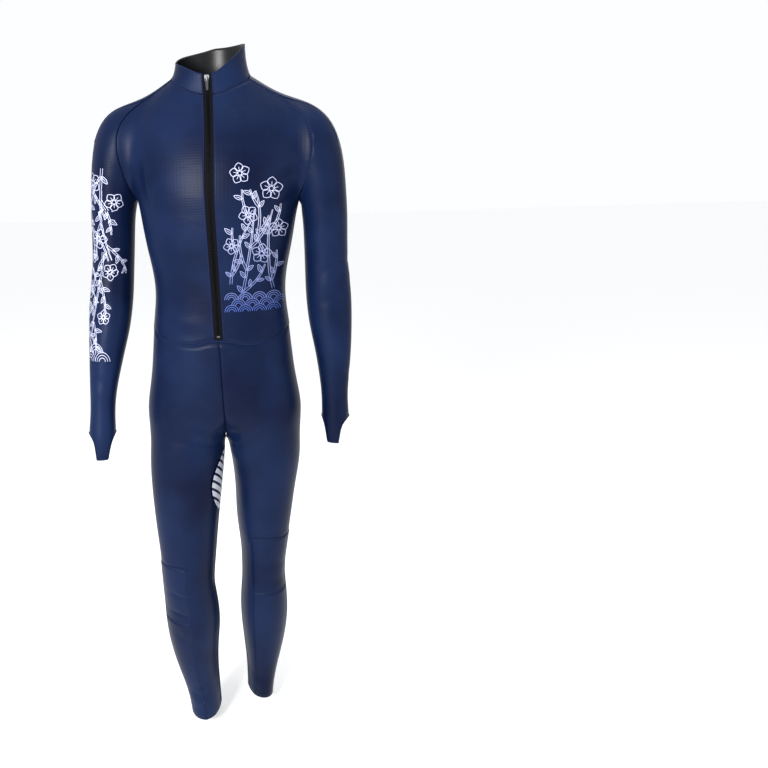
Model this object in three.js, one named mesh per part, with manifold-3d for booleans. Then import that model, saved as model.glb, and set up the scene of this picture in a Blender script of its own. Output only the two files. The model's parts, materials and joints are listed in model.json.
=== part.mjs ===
// A speed skating suit: one skin-tight piece with a stand collar, a front zip, sleeves that meet
// over the shoulder and end in hand tongues, and long legs with knee panels. It is empty and filled
// out, standing, as if worn. Millimetres, +Z up; the front faces -Y and the wearer's left is +X.
// The origin lies on the body's axis in the neck opening, where the wearer carries the suit.
import * as THREE from "three";
import { mergeVertices } from "three/addons/utils/BufferGeometryUtils.js";
import Module from "manifold-3d";

const wasm = await Module();
wasm.setup();

// Driving sizes. Heights are measured up from the ground that the wearer would stand on.
const NECK_HEIGHT = 1510;
const CLOTH = 1.6;
const SEAM_GAP = 0.3;
const ZIP_WIDTH = 17;
const COLOURS = { navy: 0x16285a, black: 0x101216, steel: 0xb4b6ba, pull: 0x5c5e64, grip: 0xc4c6d0 };

// How many quads each grid has.
const FRONT_COLUMNS = 9;
const BACK_COLUMNS = 8;
const SHOULDER_COLUMNS = 4;
const LOWER_ROWS = 8;
const COLLAR_ROWS = 3;
const SLEEVE_ROWS = 20;
const SEAT_ROWS = 6;

// Tables. Each row is one section; each column is named in its first line.
const TORSO = sections(["z", "half", "front", "back", "y", "power"], [
  [1040, 141, 101, 98, 4, 2.25],
  [940, 152, 102, 114, 4, 2.25],
  [890, 160, 99, 118, 4, 2.2],
  [850, 163, 92, 112, 4, 2.2],
  [800, 163, 84, 100, 4, 2.2],
  [1062, 138, 100, 96, 4, 2.25],
  [1112, 132, 98, 91, 3, 2.25],
  [1145, 134, 100, 91, 3, 2.25],
  [1177, 139, 104, 94, 3, 2.25],
  [1208, 146, 108, 98, 3, 2.25],
  [1248, 152, 113, 103, 4, 2.3],
  [1290, 158, 117, 108, 5, 2.3],
  [1340, 166, 116, 112, 7, 2.3],
  [1385, 170, 109, 112, 9, 2.2],
  [1420, 172, 99, 109, 11, 2.1],
  [1450, 166, 86, 103, 12, 1.95],
  [1470, 158, 77, 97, 12, 1.8],
  [1485, 140, 71, 91, 11, 1.7],
  [1498, 112, 68, 84, 9, 1.75],
  [1510, 88, 66, 76, 6, 1.9],
  [1524, 74, 64.5, 70, 4, 2],
  [1545, 68, 62, 65, 3, 2],
  [1570, 66, 59, 63, 4, 2],
  [1600, 65, 57, 62, 5, 2],
]);

const ARM = sections(["z", "x", "y", "half", "depth"], [
  [730, 252, -44, 26, 27],
  [800, 248, -36, 26, 28],
  [850, 245, -30, 26, 29],
  [880, 243, -26, 26, 30],
  [915, 241, -21, 28, 32],
  [950, 238, -16, 32, 36],
  [1000, 233, -9, 38, 40],
  [1040, 228, -3, 43, 43],
  [1100, 223, 5, 46, 45],
  [1180, 216, 10, 43, 48],
  [1270, 211, 10, 45, 54],
  [1330, 200, 9, 51, 60],
  [1380, 191, 9, 54, 63],
  [1415, 185, 9, 51, 60],
  [1440, 180, 9, 46, 53],
  [1460, 172, 9, 36, 42],
  [1474, 160, 9, 22, 26],
  [1480, 150, 9, 6, 8],
]);

// Turn is how far the leg is turned out, in degrees.
const LEG_COLUMNS = ["z", "x", "y", "half", "front", "back", "turn"];
const RIGHT_LEG = sections(LEG_COLUMNS, [
  [20, 63, 4, 32, 40, 42, 28],
  [100, 63, 0, 32, 41, 44, 28],
  [150, 65, -2, 33, 41, 46, 28],
  [200, 72, -5, 37, 43, 51, 28],
  [250, 80, -9, 44, 47, 58, 27],
  [310, 86, -14, 52, 52, 66, 26],
  [370, 87, -20, 59, 56, 68, 25],
  [430, 89, -26, 58, 57, 60, 24],
  [480, 92, -30, 56, 59, 54, 22],
  [540, 91, -30, 60, 62, 60, 18],
  [610, 91, -25, 67, 69, 69, 13],
  [690, 89, -17, 75, 77, 78, 8],
  [760, 86, -8, 80, 83, 86, 4],
  [800, 83, -3, 80, 86, 94, 0],
  [825, 81, 0, 80, 86, 96, 0],
  [880, 78, 4, 75, 82, 92, 0],
  [930, 76, 4, 60, 66, 76, 0],
]);
const LEFT_LEG = sections(LEG_COLUMNS, [
  [20, 69, 66, 25, 40, 42, 24],
  [100, 69, 63, 26, 41, 44, 24],
  [150, 70, 60, 28, 41, 47, 24],
  [200, 74, 56, 33, 42, 52, 24],
  [250, 77, 51, 41, 46, 58, 24],
  [310, 79, 45, 49, 52, 64, 23],
  [370, 79, 38, 53, 56, 67, 22],
  [430, 78, 31, 49, 57, 60, 20],
  [480, 77, 26, 47, 58, 55, 18],
  [540, 79, 22, 51, 62, 60, 15],
  [610, 80, 18, 60, 69, 69, 11],
  [690, 84, 13, 66, 76, 78, 7],
  [760, 86, 9, 75, 83, 86, 4],
  [800, 82, 6, 78, 86, 94, 0],
  [825, 79, 5, 79, 86, 96, 0],
  [880, 77, 4, 75, 82, 92, 0],
  [930, 76, 4, 60, 66, 76, 0],
]);

// Seams, by azimuth: 0 is the centre front, 90 the side and 180 the centre back, in degrees.
const WAIST_SEAM = sections(["angle", "z"], [
  [0, 1030], [10, 1030], [20, 1024], [36, 1020], [60, 1028], [90, 1045],
  [110, 1022], [130, 966], [150, 920], [168, 897], [180, 893],
]);
const NECK_SEAM = sections(["angle", "z"], [
  [0, 1482], [25, 1486], [50, 1500], [90, 1523], [130, 1531], [180, 1534],
]);
const COLLAR_TOP = sections(["angle", "left", "right"], [
  [0, 1518, 1518], [15, 1521, 1520], [50, 1548, 1536], [85, 1574, 1548], [120, 1584, 1564], [180, 1584, 1584],
]);
// The sleeve seam, seen from the front: how far out it lies at each height above the armpit.
const SLEEVE_SEAM = sections(["z", "x"], [
  [1290, 158], [1303, 164], [1322, 172], [1350, 179], [1379, 185], [1408, 186],
  [1437, 178], [1465, 155], [1492, 112], [1508, 82], [1523, 62],
]);
const SEAM_HEIGHTS = [1303, 1322, 1350, 1379, 1408, 1437, 1465, 1492];
const SHOULDER_NECK_ANGLES = { front: 72, back: 113 };
const ZIP_ANGLE_AT_NECK = 8;

// Leg seams, by angle about the leg: 0 points out, -90 forward, +90 back, in degrees.
const BACK_LEG_SEAM = sections(["z", "angle"], [
  [60, 90], [470, 88], [530, 79], [650, 64], [750, 56], [850, 54], [980, 66],
]);
const KNEE = {
  right: { inner: -88, outer: -10, top: 534 },
  left: { inner: -125, outer: -10, top: 574 },
  length: 140,
  pleats: [65, 113],
  pleatDepth: 0.9,
};
const LEG_HEM = { right: 130, left: 124, rightDrop: 14, leftDrop: 4 };
const THIGH_PATCH = { top: 780, bottom: 652, middle: 180, halfAngle: 46, lift: 0.55, thickness: 0.7 };

// Sleeve rings: each lies in a plane through an inner and an outer point, seen from the front.
const SLEEVE_RINGS = sections(["s", "innerX", "innerZ", "outerX", "outerZ"], [
  [-2, 130, 1230, -10, 1480],
  [0, 161, 1293, 44, 1500],
  [1, 162, 1289, 110, 1490],
  [2, 163, 1284, 170, 1470],
  [3, 164, 1278, 222, 1430],
  [4, 165, 1270, 246, 1370],
  [5, 167, 1258, 256, 1300],
  [6, 170, 1236, 258, 1250],
  [7, 172, 1190, 260, 1195],
  [20, 180, 540, 268, 545],
]);
const CUFF = { right: 828, left: 853, flare: 2.5 };
const TONGUE = {
  firstColumn: 0,
  columns: 9,
  middle: { right: 100, left: 114 },
  rows: 5,
  length: 52,
  angleAtTip: 52,
};

// The zip's slider, seen along the zip: a plate, an arch on it, and a tab hung from the arch.
const SLIDER = { z: 1510, lift: 0.3, length: 11, topHalf: 4.4, bottomHalf: 3.5, round: 1.6, thickness: 2.4 };
const ARCH = { width: 2.4, length: 7.6, height: 3, band: 1, bevel: 1 };
const PULL = {
  pinOffset: 1,
  thickness: 1.2,
  length: 21,
  topHalf: 3,
  bottomHalf: 2,
  round: 1.2,
  windowHalf: 1.7,
  windowEnd: 5,
};
const ZIP_STOP = { z: 1035.5, half: 3, height: 3, thickness: 1.4 };

// Blending radii where limbs join.
const BLEND = { shoulder: 26, armpit: 10, armpitZ: 1295, leg: 30, crotch: 14 };

// How the pose carries each height: turned towards the wearer's right in degrees, moved across
// to the wearer's left, and tipped down on the wearer's left by a share of the way across.
const POSE = sections(["z", "turn", "across", "tip"], [
  [0, 0, 5, 0], [800, 1, 5, 0], [900, 2, 3, 0], [1030, 4, 1, 0], [1150, 6, 0, 0],
  [1300, 8, 0, 0.01], [1400, 8, 0, 0.02], [1500, 8, -5, 0.02], [1600, 8, -6, 0.02],
]);
const ARM_SPREAD = sections(["z", "right", "left"], [
  [800, 14, -17], [900, 12, -12], [1000, 7, -5], [1200, 4, -1], [1300, 5, -1], [1400, 5, 0], [1500, 2, 0],
]);

const DEGREE = Math.PI / 180;

// A table sorted by its first column, with the slope of each other column at each row.
function sections(names, rows) {
  const sorted = [...rows].sort((a, b) => a[0] - b[0]);
  const slopes = sorted.map((row, i) =>
    row.map((value, c) => {
      const before = sorted[Math.max(i - 1, 0)];
      const after = sorted[Math.min(i + 1, sorted.length - 1)];
      return (after[c] - before[c]) / (after[0] - before[0]);
    }),
  );
  return { names, rows: sorted, slopes };
}

// The value of one named column at a place along the table, by a cubic through its rows.
function at(table, name, place) {
  const { names, rows, slopes } = table;
  const c = names.indexOf(name);
  const last = rows.length - 1;
  if (place <= rows[0][0]) return rows[0][c];
  if (place >= rows[last][0]) return rows[last][c];
  let i = 0;
  while (rows[i + 1][0] < place) i += 1;
  const width = rows[i + 1][0] - rows[i][0];
  const t = (place - rows[i][0]) / width;
  const rise = rows[i + 1][c] - rows[i][c];
  const startSlope = slopes[i][c] * width;
  const endSlope = slopes[i + 1][c] * width;
  return rows[i][c] + t * (startSlope + t * (3 * rise - 2 * startSlope - endSlope + t * (startSlope + endSlope - 2 * rise)));
}

const mix = (a, b, t) => a + (b - a) * t;
const smooth = (t) => t * t * (3 - 2 * t);
const clamp01 = (t) => Math.min(Math.max(t, 0), 1);

// Where value(t) changes sign between two places, by halving.
function crossing(value, from, to) {
  let low = from;
  let high = to;
  const lowSign = Math.sign(value(low));
  for (let i = 0; i < 34; i += 1) {
    const middle = (low + high) / 2;
    if (Math.sign(value(middle)) === lowSign) low = middle;
    else high = middle;
  }
  return low;
}

// Signed distance, measured across, from a level section with the given sizes.
function sectionDistance(dx, dy, half, depth, power) {
  const r = Math.hypot(dx, dy);
  if (r < 1e-6) return -Math.min(half, depth);
  const share = (Math.abs(dx / half) ** power + Math.abs(dy / depth) ** power) ** (1 / power);
  return r * (1 - 1 / share);
}

function torsoDistance(x, y, z) {
  const lowest = 800;
  const dy = y - at(TORSO, "y", z);
  const depth = at(TORSO, dy < 0 ? "front" : "back", z);
  const beside = sectionDistance(x, dy, at(TORSO, "half", z), depth, at(TORSO, "power", z));
  const under = (lowest + 40 - z) * 0.9;
  return smoothMax(beside, under, 40);
}

function armX(side, z) {
  return at(ARM, "x", z) + at(ARM_SPREAD, side > 0 ? "left" : "right", z);
}

function armDistance(side, x, y, z) {
  const top = (z - 1480) * 1.2;
  const dx = side * x - armX(side, z);
  const beside = sectionDistance(dx, y - at(ARM, "y", z), at(ARM, "half", z), at(ARM, "depth", z), 2.1);
  return Math.max(beside, top);
}

function legDistance(side, x, y, z) {
  const table = side > 0 ? LEFT_LEG : RIGHT_LEG;
  const turn = at(table, "turn", z) * DEGREE;
  const ox = side * x - at(table, "x", z);
  const oy = y - at(table, "y", z);
  const dx = ox * Math.cos(turn) + oy * Math.sin(turn);
  const dy = oy * Math.cos(turn) - ox * Math.sin(turn);
  const depth = at(table, dy < 0 ? "front" : "back", z);
  const beside = sectionDistance(dx, dy, at(table, "half", z), depth, 2.15);
  return smoothMax(beside, (z - 925) * 0.9, 40);
}

function smoothMin(a, b, k) {
  const h = Math.max(k - Math.abs(a - b), 0) / k;
  return Math.min(a, b) - (h * h * k) / 4;
}

function smoothMax(a, b, k) {
  return -smoothMin(-a, -b, k);
}

// Signed distance from the whole filled-out figure that the cloth lies on.
function figure(x, y, z) {
  let d = z > 760 ? torsoDistance(x, y, z) : 1e3;
  if (z < 960) {
    const legs = smoothMin(legDistance(1, x, y, z), legDistance(-1, x, y, z), BLEND.crotch);
    d = smoothMin(d, legs, BLEND.leg);
  }
  const arm = armDistance(x > 0 ? 1 : -1, x, y, z);
  const open = clamp01((z - BLEND.armpitZ) / 60);
  return smoothMin(d, arm, mix(BLEND.armpit, BLEND.shoulder, open));
}

// The first point where a ray leaves the figure.
function firstExit(origin, direction, reach = 340, step = 4) {
  const value = (t) =>
    figure(origin.x + direction.x * t, origin.y + direction.y * t, origin.z + direction.z * t);
  let t = step;
  while (t < reach && value(t) < 0) t += step;
  return origin.clone().addScaledVector(direction, crossing(value, t - step, t));
}

function outwards(point) {
  const e = 0.6;
  const { x, y, z } = point;
  return new THREE.Vector3(
    figure(x + e, y, z) - figure(x - e, y, z),
    figure(x, y + e, z) - figure(x, y - e, z),
    figure(x, y, z + e) - figure(x, y, z - e),
  ).normalize();
}

// A point of the torso, neck or hips at a height and azimuth; side is +1 left, -1 right.
function torsoPoint(side, angle, z) {
  const a = angle * DEGREE;
  return firstExit(new THREE.Vector3(0, 0, z), new THREE.Vector3(side * Math.sin(a), -Math.cos(a), 0));
}

// Where the legs part: the lowest point of the figure on its centre plane.
function crotchPoint() {
  const across = Array.from({ length: 41 }, (_, i) => 2 * i - 40);
  const deepest = (z) => Math.min(...across.map((y) => figure(0, y, z)));
  const z = crossing(deepest, 880, 740);
  const y = across.find((place) => figure(0, place, z) === deepest(z));
  return new THREE.Vector3(0, y, z);
}
const CROTCH = crotchPoint();

// The armpit: the highest point of the body's side before it runs into the sleeve.
function armpit(side) {
  const z = crossing((height) => 175 - Math.abs(torsoPoint(side, 90, height).x), 1240, 1320);
  return torsoPoint(side, 90, z - 0.5);
}

// Places where several corners meet in a fold, and how far each edge near them is drawn in.
const CORNERS = [
  { centre: CROTCH, reach: 12 },
  { centre: armpit(1), reach: 40 },
  { centre: armpit(-1), reach: 40 },
];
const CORNER_GAP = 0.9;

// A point of the chest, back or shoulder at a place seen from the front; way is -1 front, +1 back.
function shoulderPoint(side, x, z, way) {
  return firstExit(new THREE.Vector3(side * x, 9, z), new THREE.Vector3(0, way, 0), 340, 1);
}

const SIDE_COLUMN = FRONT_COLUMNS;
const LAST_COLUMN = FRONT_COLUMNS + BACK_COLUMNS;
const UPPER_ROWS = SEAM_HEIGHTS.length + 1;
const columnNumbers = Array.from({ length: LAST_COLUMN + 1 }, (_, column) => column);

// A column's azimuth below the armpit.
function sideAngle(column) {
  if (column <= SIDE_COLUMN) return (90 * column) / FRONT_COLUMNS;
  return 90 + (90 * (column - SIDE_COLUMN)) / BACK_COLUMNS;
}

// A column's azimuth at the neck seam; half is +1 for the back's columns, -1 for the front's.
function neckAngle(column, half) {
  const { front, back } = SHOULDER_NECK_ANGLES;
  if (half < 0) return mix(ZIP_ANGLE_AT_NECK, front, column / FRONT_COLUMNS);
  return mix(back, 180, (column - SIDE_COLUMN) / BACK_COLUMNS);
}

const neckPoint = (side, angle) => torsoPoint(side, angle, at(NECK_SEAM, "z", angle));

// The front or the back of one side: rows rise level to the armpit, then across to the sleeve seam.
function bodyGrid(side, half) {
  const pit = armpit(side);
  const columns = half < 0 ? columnNumbers.slice(0, SIDE_COLUMN + 1) : columnNumbers.slice(SIDE_COLUMN);
  const count = half < 0 ? FRONT_COLUMNS : BACK_COLUMNS;
  return columns.map((column) => {
    const atZip = column === 0;
    const angle = sideAngle(column);
    const share = half < 0 ? column / count : 1 - (column - SIDE_COLUMN) / count;
    const points = [];
    for (let row = 0; row <= LOWER_ROWS; row += 1) {
      const z = mix(at(WAIST_SEAM, "z", angle), pit.z, row / LOWER_ROWS);
      points.push(atZip ? besideZip(side, z) : torsoPoint(side, angle, z));
    }
    const inner = half < 0 ? ZIP_WIDTH / 2 : 0;
    const pitShare = (Math.abs(points[LOWER_ROWS].x) - inner) / (Math.abs(pit.x) - inner);
    for (const seamZ of SEAM_HEIGHTS) {
      const top = at(NECK_SEAM, "z", neckAngle(column, half));
      const seamTop = at(NECK_SEAM, "z", neckAngle(SIDE_COLUMN, half));
      const z = mix(pit.z, top, (seamZ - pit.z) / (seamTop - pit.z));
      const across = mix(pitShare, share, clamp01((seamZ - pit.z) / 120));
      const x = mix(inner, at(SLEEVE_SEAM, "x", seamZ), across);
      points.push(atZip ? besideZip(side, z) : shoulderPoint(side, x, z, half));
    }
    points.push(atZip ? besideZip(side, at(NECK_SEAM, "z", 0)) : neckPoint(side, neckAngle(column, half)));
    return points;
  });
}

// The column beside the zip keeps its distance from the centre plane at each height.
function besideZip(side, z) {
  return firstExit(new THREE.Vector3((side * ZIP_WIDTH) / 2, 0, z), new THREE.Vector3(0, -1, 0));
}

// Azimuths of the collar's columns: the front's, the shoulder's and the back's.
function collarAngles() {
  const { front, back } = SHOULDER_NECK_ANGLES;
  const fronts = columnNumbers.slice(0, SIDE_COLUMN).map((column) => neckAngle(column, -1));
  const shoulders = Array.from({ length: SHOULDER_COLUMNS }, (_, i) => mix(front, back, i / SHOULDER_COLUMNS));
  return [...fronts, ...shoulders, ...columnNumbers.slice(SIDE_COLUMN).map((column) => neckAngle(column, 1))];
}

function collarGrid(side) {
  return collarAngles().map((angle, column) => {
    const low = at(NECK_SEAM, "z", angle);
    const high = at(COLLAR_TOP, side > 0 ? "left" : "right", angle);
    return Array.from({ length: COLLAR_ROWS + 1 }, (_, row) => {
      const z = mix(low, high, row / COLLAR_ROWS);
      return column === 0 ? besideZip(side, z) : torsoPoint(side, angle, z);
    });
  });
}

// The plane of a sleeve ring: its middle, and its own outward direction seen from the front.
function sleeveRing(side, s) {
  const innerX = at(SLEEVE_RINGS, "innerX", s);
  const innerZ = at(SLEEVE_RINGS, "innerZ", s);
  const outerX = at(SLEEVE_RINGS, "outerX", s);
  const outerZ = at(SLEEVE_RINGS, "outerZ", s);
  const z = mix(innerZ, outerZ, 0.5);
  const wide = clamp01((1300 - z) / 100);
  const x = mix(mix(innerX, outerX, 0.5), armX(side, z), wide);
  const y = mix(9, at(ARM, "y", z), wide);
  const out = new THREE.Vector3(side * (outerX - innerX), 0, outerZ - innerZ).normalize();
  return { middle: new THREE.Vector3(side * x, y, z), out };
}

// A point of the sleeve: angle 0 is its outer side, 90 its front, 180 the underarm.
function sleevePoint(side, s, angle) {
  const { middle, out } = sleeveRing(side, s);
  const a = angle * DEGREE;
  const direction = out.clone().multiplyScalar(Math.cos(a)).add(new THREE.Vector3(0, -Math.sin(a), 0));
  return firstExit(middle, direction);
}

// Where a given point of the figure lies among the sleeve rings.
function sleevePlace(side, point) {
  const height = (s) => {
    const { middle, out } = sleeveRing(side, s);
    const across = new THREE.Vector3(-out.z, 0, out.x).multiplyScalar(side);
    return point.clone().sub(middle).dot(across);
  };
  const s = crossing(height, -2, 9);
  const { middle, out } = sleeveRing(side, s);
  const from = point.clone().sub(middle);
  return { s, angle: Math.atan2(-from.y, from.dot(out)) / DEGREE };
}

// The closed edge where the sleeve meets the body: from the armpit up the front seam, along the
// collar over the shoulder, and down the back seam.
function sleeveTopLoop(front, back, collar) {
  const frontEdge = front[front.length - 1].slice(LOWER_ROWS);
  const backEdge = back[0].slice(LOWER_ROWS + 1).reverse();
  const neck = collar.slice(SIDE_COLUMN + 1, SIDE_COLUMN + SHOULDER_COLUMNS).map((column) => column[0]);
  return [...frontEdge, ...neck, ...backEdge];
}

// The shares of its length over which the sleeve's columns spread out evenly.
const SLEEVE_SPREAD = { from: 0.08, over: 0.4 };
const UNDERARM = { s: 2.1, angle: 180 };
const SLEEVE_COLUMNS = 2 * UPPER_ROWS + SHOULDER_COLUMNS;

// The place among the sleeve rings that has a given height at a given angle.
function sleevePlaceAtHeight(side, z, angle) {
  return crossing((s) => sleevePoint(side, s, angle).z - z, 4, 20);
}

function sleeveGrid(side, loop) {
  const cuff = side > 0 ? CUFF.left : CUFF.right;
  return loop.map((start, column) => {
    const place = column === 0 ? UNDERARM : sleevePlace(side, start);
    const even = 180 - (360 * column) / SLEEVE_COLUMNS;
    let startAngle = place.angle;
    while (startAngle - even > 180) startAngle -= 360;
    while (startAngle - even < -180) startAngle += 360;
    const end = sleevePlaceAtHeight(side, cuff, even);
    return Array.from({ length: SLEEVE_ROWS + 1 }, (_, row) => {
      if (row === 0) return start.clone();
      const t = row / SLEEVE_ROWS;
      const s = mix(place.s, end, t * (0.82 + 0.18 * t));
      const point = sleevePoint(side, s, mix(startAngle, even, smooth(clamp01((t - SLEEVE_SPREAD.from) / SLEEVE_SPREAD.over))));
      const flare = CUFF.flare * clamp01((t - 0.95) / 0.05);
      return point.addScaledVector(outwards(point), flare);
    });
  });
}

// The hand tongue: rows below the cuff on its front columns, narrowing quickly, then slowly.
function tongueRows(side, grid) {
  const middle = TONGUE.middle[side > 0 ? "left" : "right"];
  const cuff = side > 0 ? CUFF.left : CUFF.right;
  return Array.from({ length: TONGUE.columns + 1 }, (_, i) => {
    const column = TONGUE.firstColumn + i;
    const across = 0.5 - i / TONGUE.columns;
    return Array.from({ length: TONGUE.rows + 1 }, (_, row) => {
      if (row === 0) return grid[column][SLEEVE_ROWS];
      const t = row / TONGUE.rows;
      const start = 180 - (360 * column) / SLEEVE_COLUMNS;
      const angle = mix(start, middle + across * TONGUE.angleAtTip, Math.sqrt(Math.sqrt(t)));
      const z = cuff - TONGUE.length * t;
      const point = sleevePoint(side, sleevePlaceAtHeight(side, z, angle), angle);
      return point.addScaledVector(outwards(point), CUFF.flare * (1 - t));
    });
  });
}

// A point of a leg at a height, by the angle about the leg's own middle.
function legPoint(side, z, angle) {
  const table = side > 0 ? LEFT_LEG : RIGHT_LEG;
  const a = angle * DEGREE;
  const origin = new THREE.Vector3(side * at(table, "x", z), at(table, "y", z), z);
  return firstExit(origin, new THREE.Vector3(side * Math.cos(a), Math.sin(a), 0));
}

// A leg's inner edge: the centre seam above the crotch, the inseam below it.
function innerEdge(side, z, way) {
  if (z === CROTCH.z) return CROTCH.clone();
  if (z < CROTCH.z) return legPoint(side, z, 180);
  return firstExit(new THREE.Vector3(0, CROTCH.y, z), new THREE.Vector3(0, way, 0), 340, 0.5);
}

// The angle of a point about the middle of its leg.
function legAngle(side, point) {
  const table = side > 0 ? LEFT_LEG : RIGHT_LEG;
  const x = side * point.x - at(table, "x", point.z);
  return Math.atan2(point.y - at(table, "y", point.z), x) / DEGREE;
}

function innerAngle(side, z, way) {
  return z <= CROTCH.z ? way * 180 : legAngle(side, innerEdge(side, z, way));
}

// Key columns of a leg: centre front or inseam, the knee panel's sides, the back seam.
const LEG_KEYS = { kneeInner: 4, kneeOuter: 8, backSeam: 11 };
const CROTCH_ROW = SEAT_ROWS;
const THIGH_ROWS = 6;
const KNEE_STEPS = [0, 28, 54, 65, 76, 102, 113, 124, KNEE.length];
const SHIN_ROWS = 7;
const KNEE_ROW = CROTCH_ROW + 1 + THIGH_ROWS;
const SHIN_ROW = KNEE_ROW + KNEE_STEPS.length - 1;

// The heights of a leg's rows, from the crotch down to the last one above the hem.
function legLevels(side) {
  const { top } = side > 0 ? KNEE.left : KNEE.right;
  const hem = side > 0 ? LEG_HEM.left : LEG_HEM.right;
  const fork = CROTCH.z - 7;
  const thigh = Array.from({ length: THIGH_ROWS }, (_, i) => mix(fork, top, i / THIGH_ROWS));
  const knee = KNEE_STEPS.map((step) => top - step);
  const shin = Array.from({ length: SHIN_ROWS - 1 }, (_, i) => mix(top - KNEE.length, hem, (i + 1) / SHIN_ROWS));
  return [CROTCH.z, ...thigh, ...knee, ...shin];
}

function legAngles(side, z) {
  const knee = side > 0 ? KNEE.left : KNEE.right;
  const stops = [
    [0, innerAngle(side, z, -1)],
    [LEG_KEYS.kneeInner, knee.inner],
    [LEG_KEYS.kneeOuter, knee.outer],
    [LEG_KEYS.backSeam, at(BACK_LEG_SEAM, "angle", z)],
    [LAST_COLUMN, innerAngle(side, z, 1)],
  ];
  const angles = [];
  for (let k = 0; k + 1 < stops.length; k += 1) {
    const [from, start] = stops[k];
    const [to, end] = stops[k + 1];
    for (let i = from; i < to; i += 1) angles.push(mix(start, end, (i - from) / (to - from)));
  }
  return [...angles, stops[stops.length - 1][1]];
}

function legGrid(side, waist) {
  const last = LAST_COLUMN;
  const hem = side > 0 ? LEG_HEM.left : LEG_HEM.right;
  const drop = side > 0 ? LEG_HEM.leftDrop : LEG_HEM.rightDrop;
  return waist.map((below, column) => {
    const inner = column === 0 || column === last;
    const way = column === 0 ? -1 : 1;
    const start = column === 0 ? innerEdge(side, below.z, way) : below.clone();
    const point = (z, angle) => (inner ? innerEdge(side, z, way) : legPoint(side, z, angle));
    const points = [start];
    const towardsCentre = Math.abs(2 * column - last) / last;
    for (let row = 1; row < SEAT_ROWS; row += 1) {
      const t = row / SEAT_ROWS;
      const z = mix(start.z, CROTCH.z, 1 - (1 - t) ** (1 + towardsCentre));
      const regular = legAngles(side, z)[column];
      points.push(point(z, mix(legAngle(side, start), regular, smooth(t))));
    }
    for (const z of legLevels(side)) points.push(point(z, legAngles(side, z)[column]));
    const angle = legAngles(side, hem)[column];
    points.push(point(hem + drop * Math.sin(angle * DEGREE), angle));
    return points;
  });
}

// A sheet is a list of points and a list of quads, each quad four places in that list.
function sheetOf(columns, { wrap = false, skip = () => false } = {}) {
  const points = [];
  const index = columns.map((column) => column.map((point) => points.push(point) - 1));
  const quads = [];
  const last = wrap ? columns.length : columns.length - 1;
  for (let c = 0; c < last; c += 1) {
    const next = (c + 1) % columns.length;
    for (let r = 0; r + 1 < columns[0].length; r += 1) {
      if (!skip(c, r)) quads.push([index[c][r], index[next][r], index[next][r + 1], index[c][r + 1]]);
    }
  }
  return { points, quads };
}

// The same sheet with points in one place made one, unused points dropped, and doubled quads gone.
function welded(sheets) {
  const points = [];
  const places = new Map();
  const place = (p) => {
    const key = [p.x, p.y, p.z].map((v) => Math.round(v * 200)).join();
    if (!places.has(key)) places.set(key, points.push(p) - 1);
    return places.get(key);
  };
  const quads = sheets.flatMap((sheet) => sheet.quads.map((quad) => quad.map((i) => place(sheet.points[i]))));
  return { points, quads };
}

function edgesOf(quads) {
  const seen = new Map();
  for (const quad of quads) {
    quad.forEach((from, i) => {
      const to = quad[(i + 1) % quad.length];
      if (from !== to) seen.set(from + "," + to, [from, to]);
    });
  }
  return [...seen.values()].filter(([from, to]) => !seen.has(to + "," + from));
}

// Draws a sheet's open edges in by half the seam gap, along the cloth, and by more at corners.
function drawnIn(sheet, normals) {
  const moves = sheet.points.map(() => []);
  for (const [from, to] of edgesOf(sheet.quads)) {
    const along = sheet.points[to].clone().sub(sheet.points[from]);
    for (const i of [from, to]) moves[i].push(along.clone().cross(normals[i]).normalize().negate());
  }
  return sheet.points.map((point, i) => {
    if (!moves[i].length) return point.clone();
    const [a, b = a] = moves[i];
    const bisector = a.clone().add(b);
    const cornered = CORNERS.some(({ centre, reach }) => point.distanceTo(centre) < reach);
    const gap = cornered ? CORNER_GAP : SEAM_GAP / 2;
    return point.clone().addScaledVector(bisector, gap / Math.max(1 + a.dot(b), 0.5));
  });
}

// A quad turned so that its first and third corners are the nearer pair.
function shorterWay(points, [a, b, c, d]) {
  const straight = points[a].distanceTo(points[c]);
  return straight <= points[b].distanceTo(points[d]) ? [a, b, c, d] : [b, c, d, a];
}

// Puts two points in the same order whichever piece asks, so that both sides of a seam are split
// into the same triangles.
const rank = (point) => point.x + 2 * point.y + 3 * point.z;

// Where the pose carries a point.
function posed(point) {
  const { x, y, z } = point;
  const turn = -at(POSE, "turn", z) * DEGREE;
  const across = x * Math.cos(turn) - y * Math.sin(turn);
  return new THREE.Vector3(
    across + at(POSE, "across", z),
    x * Math.sin(turn) + y * Math.cos(turn),
    z - at(POSE, "tip", z) * across,
  );
}

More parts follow.
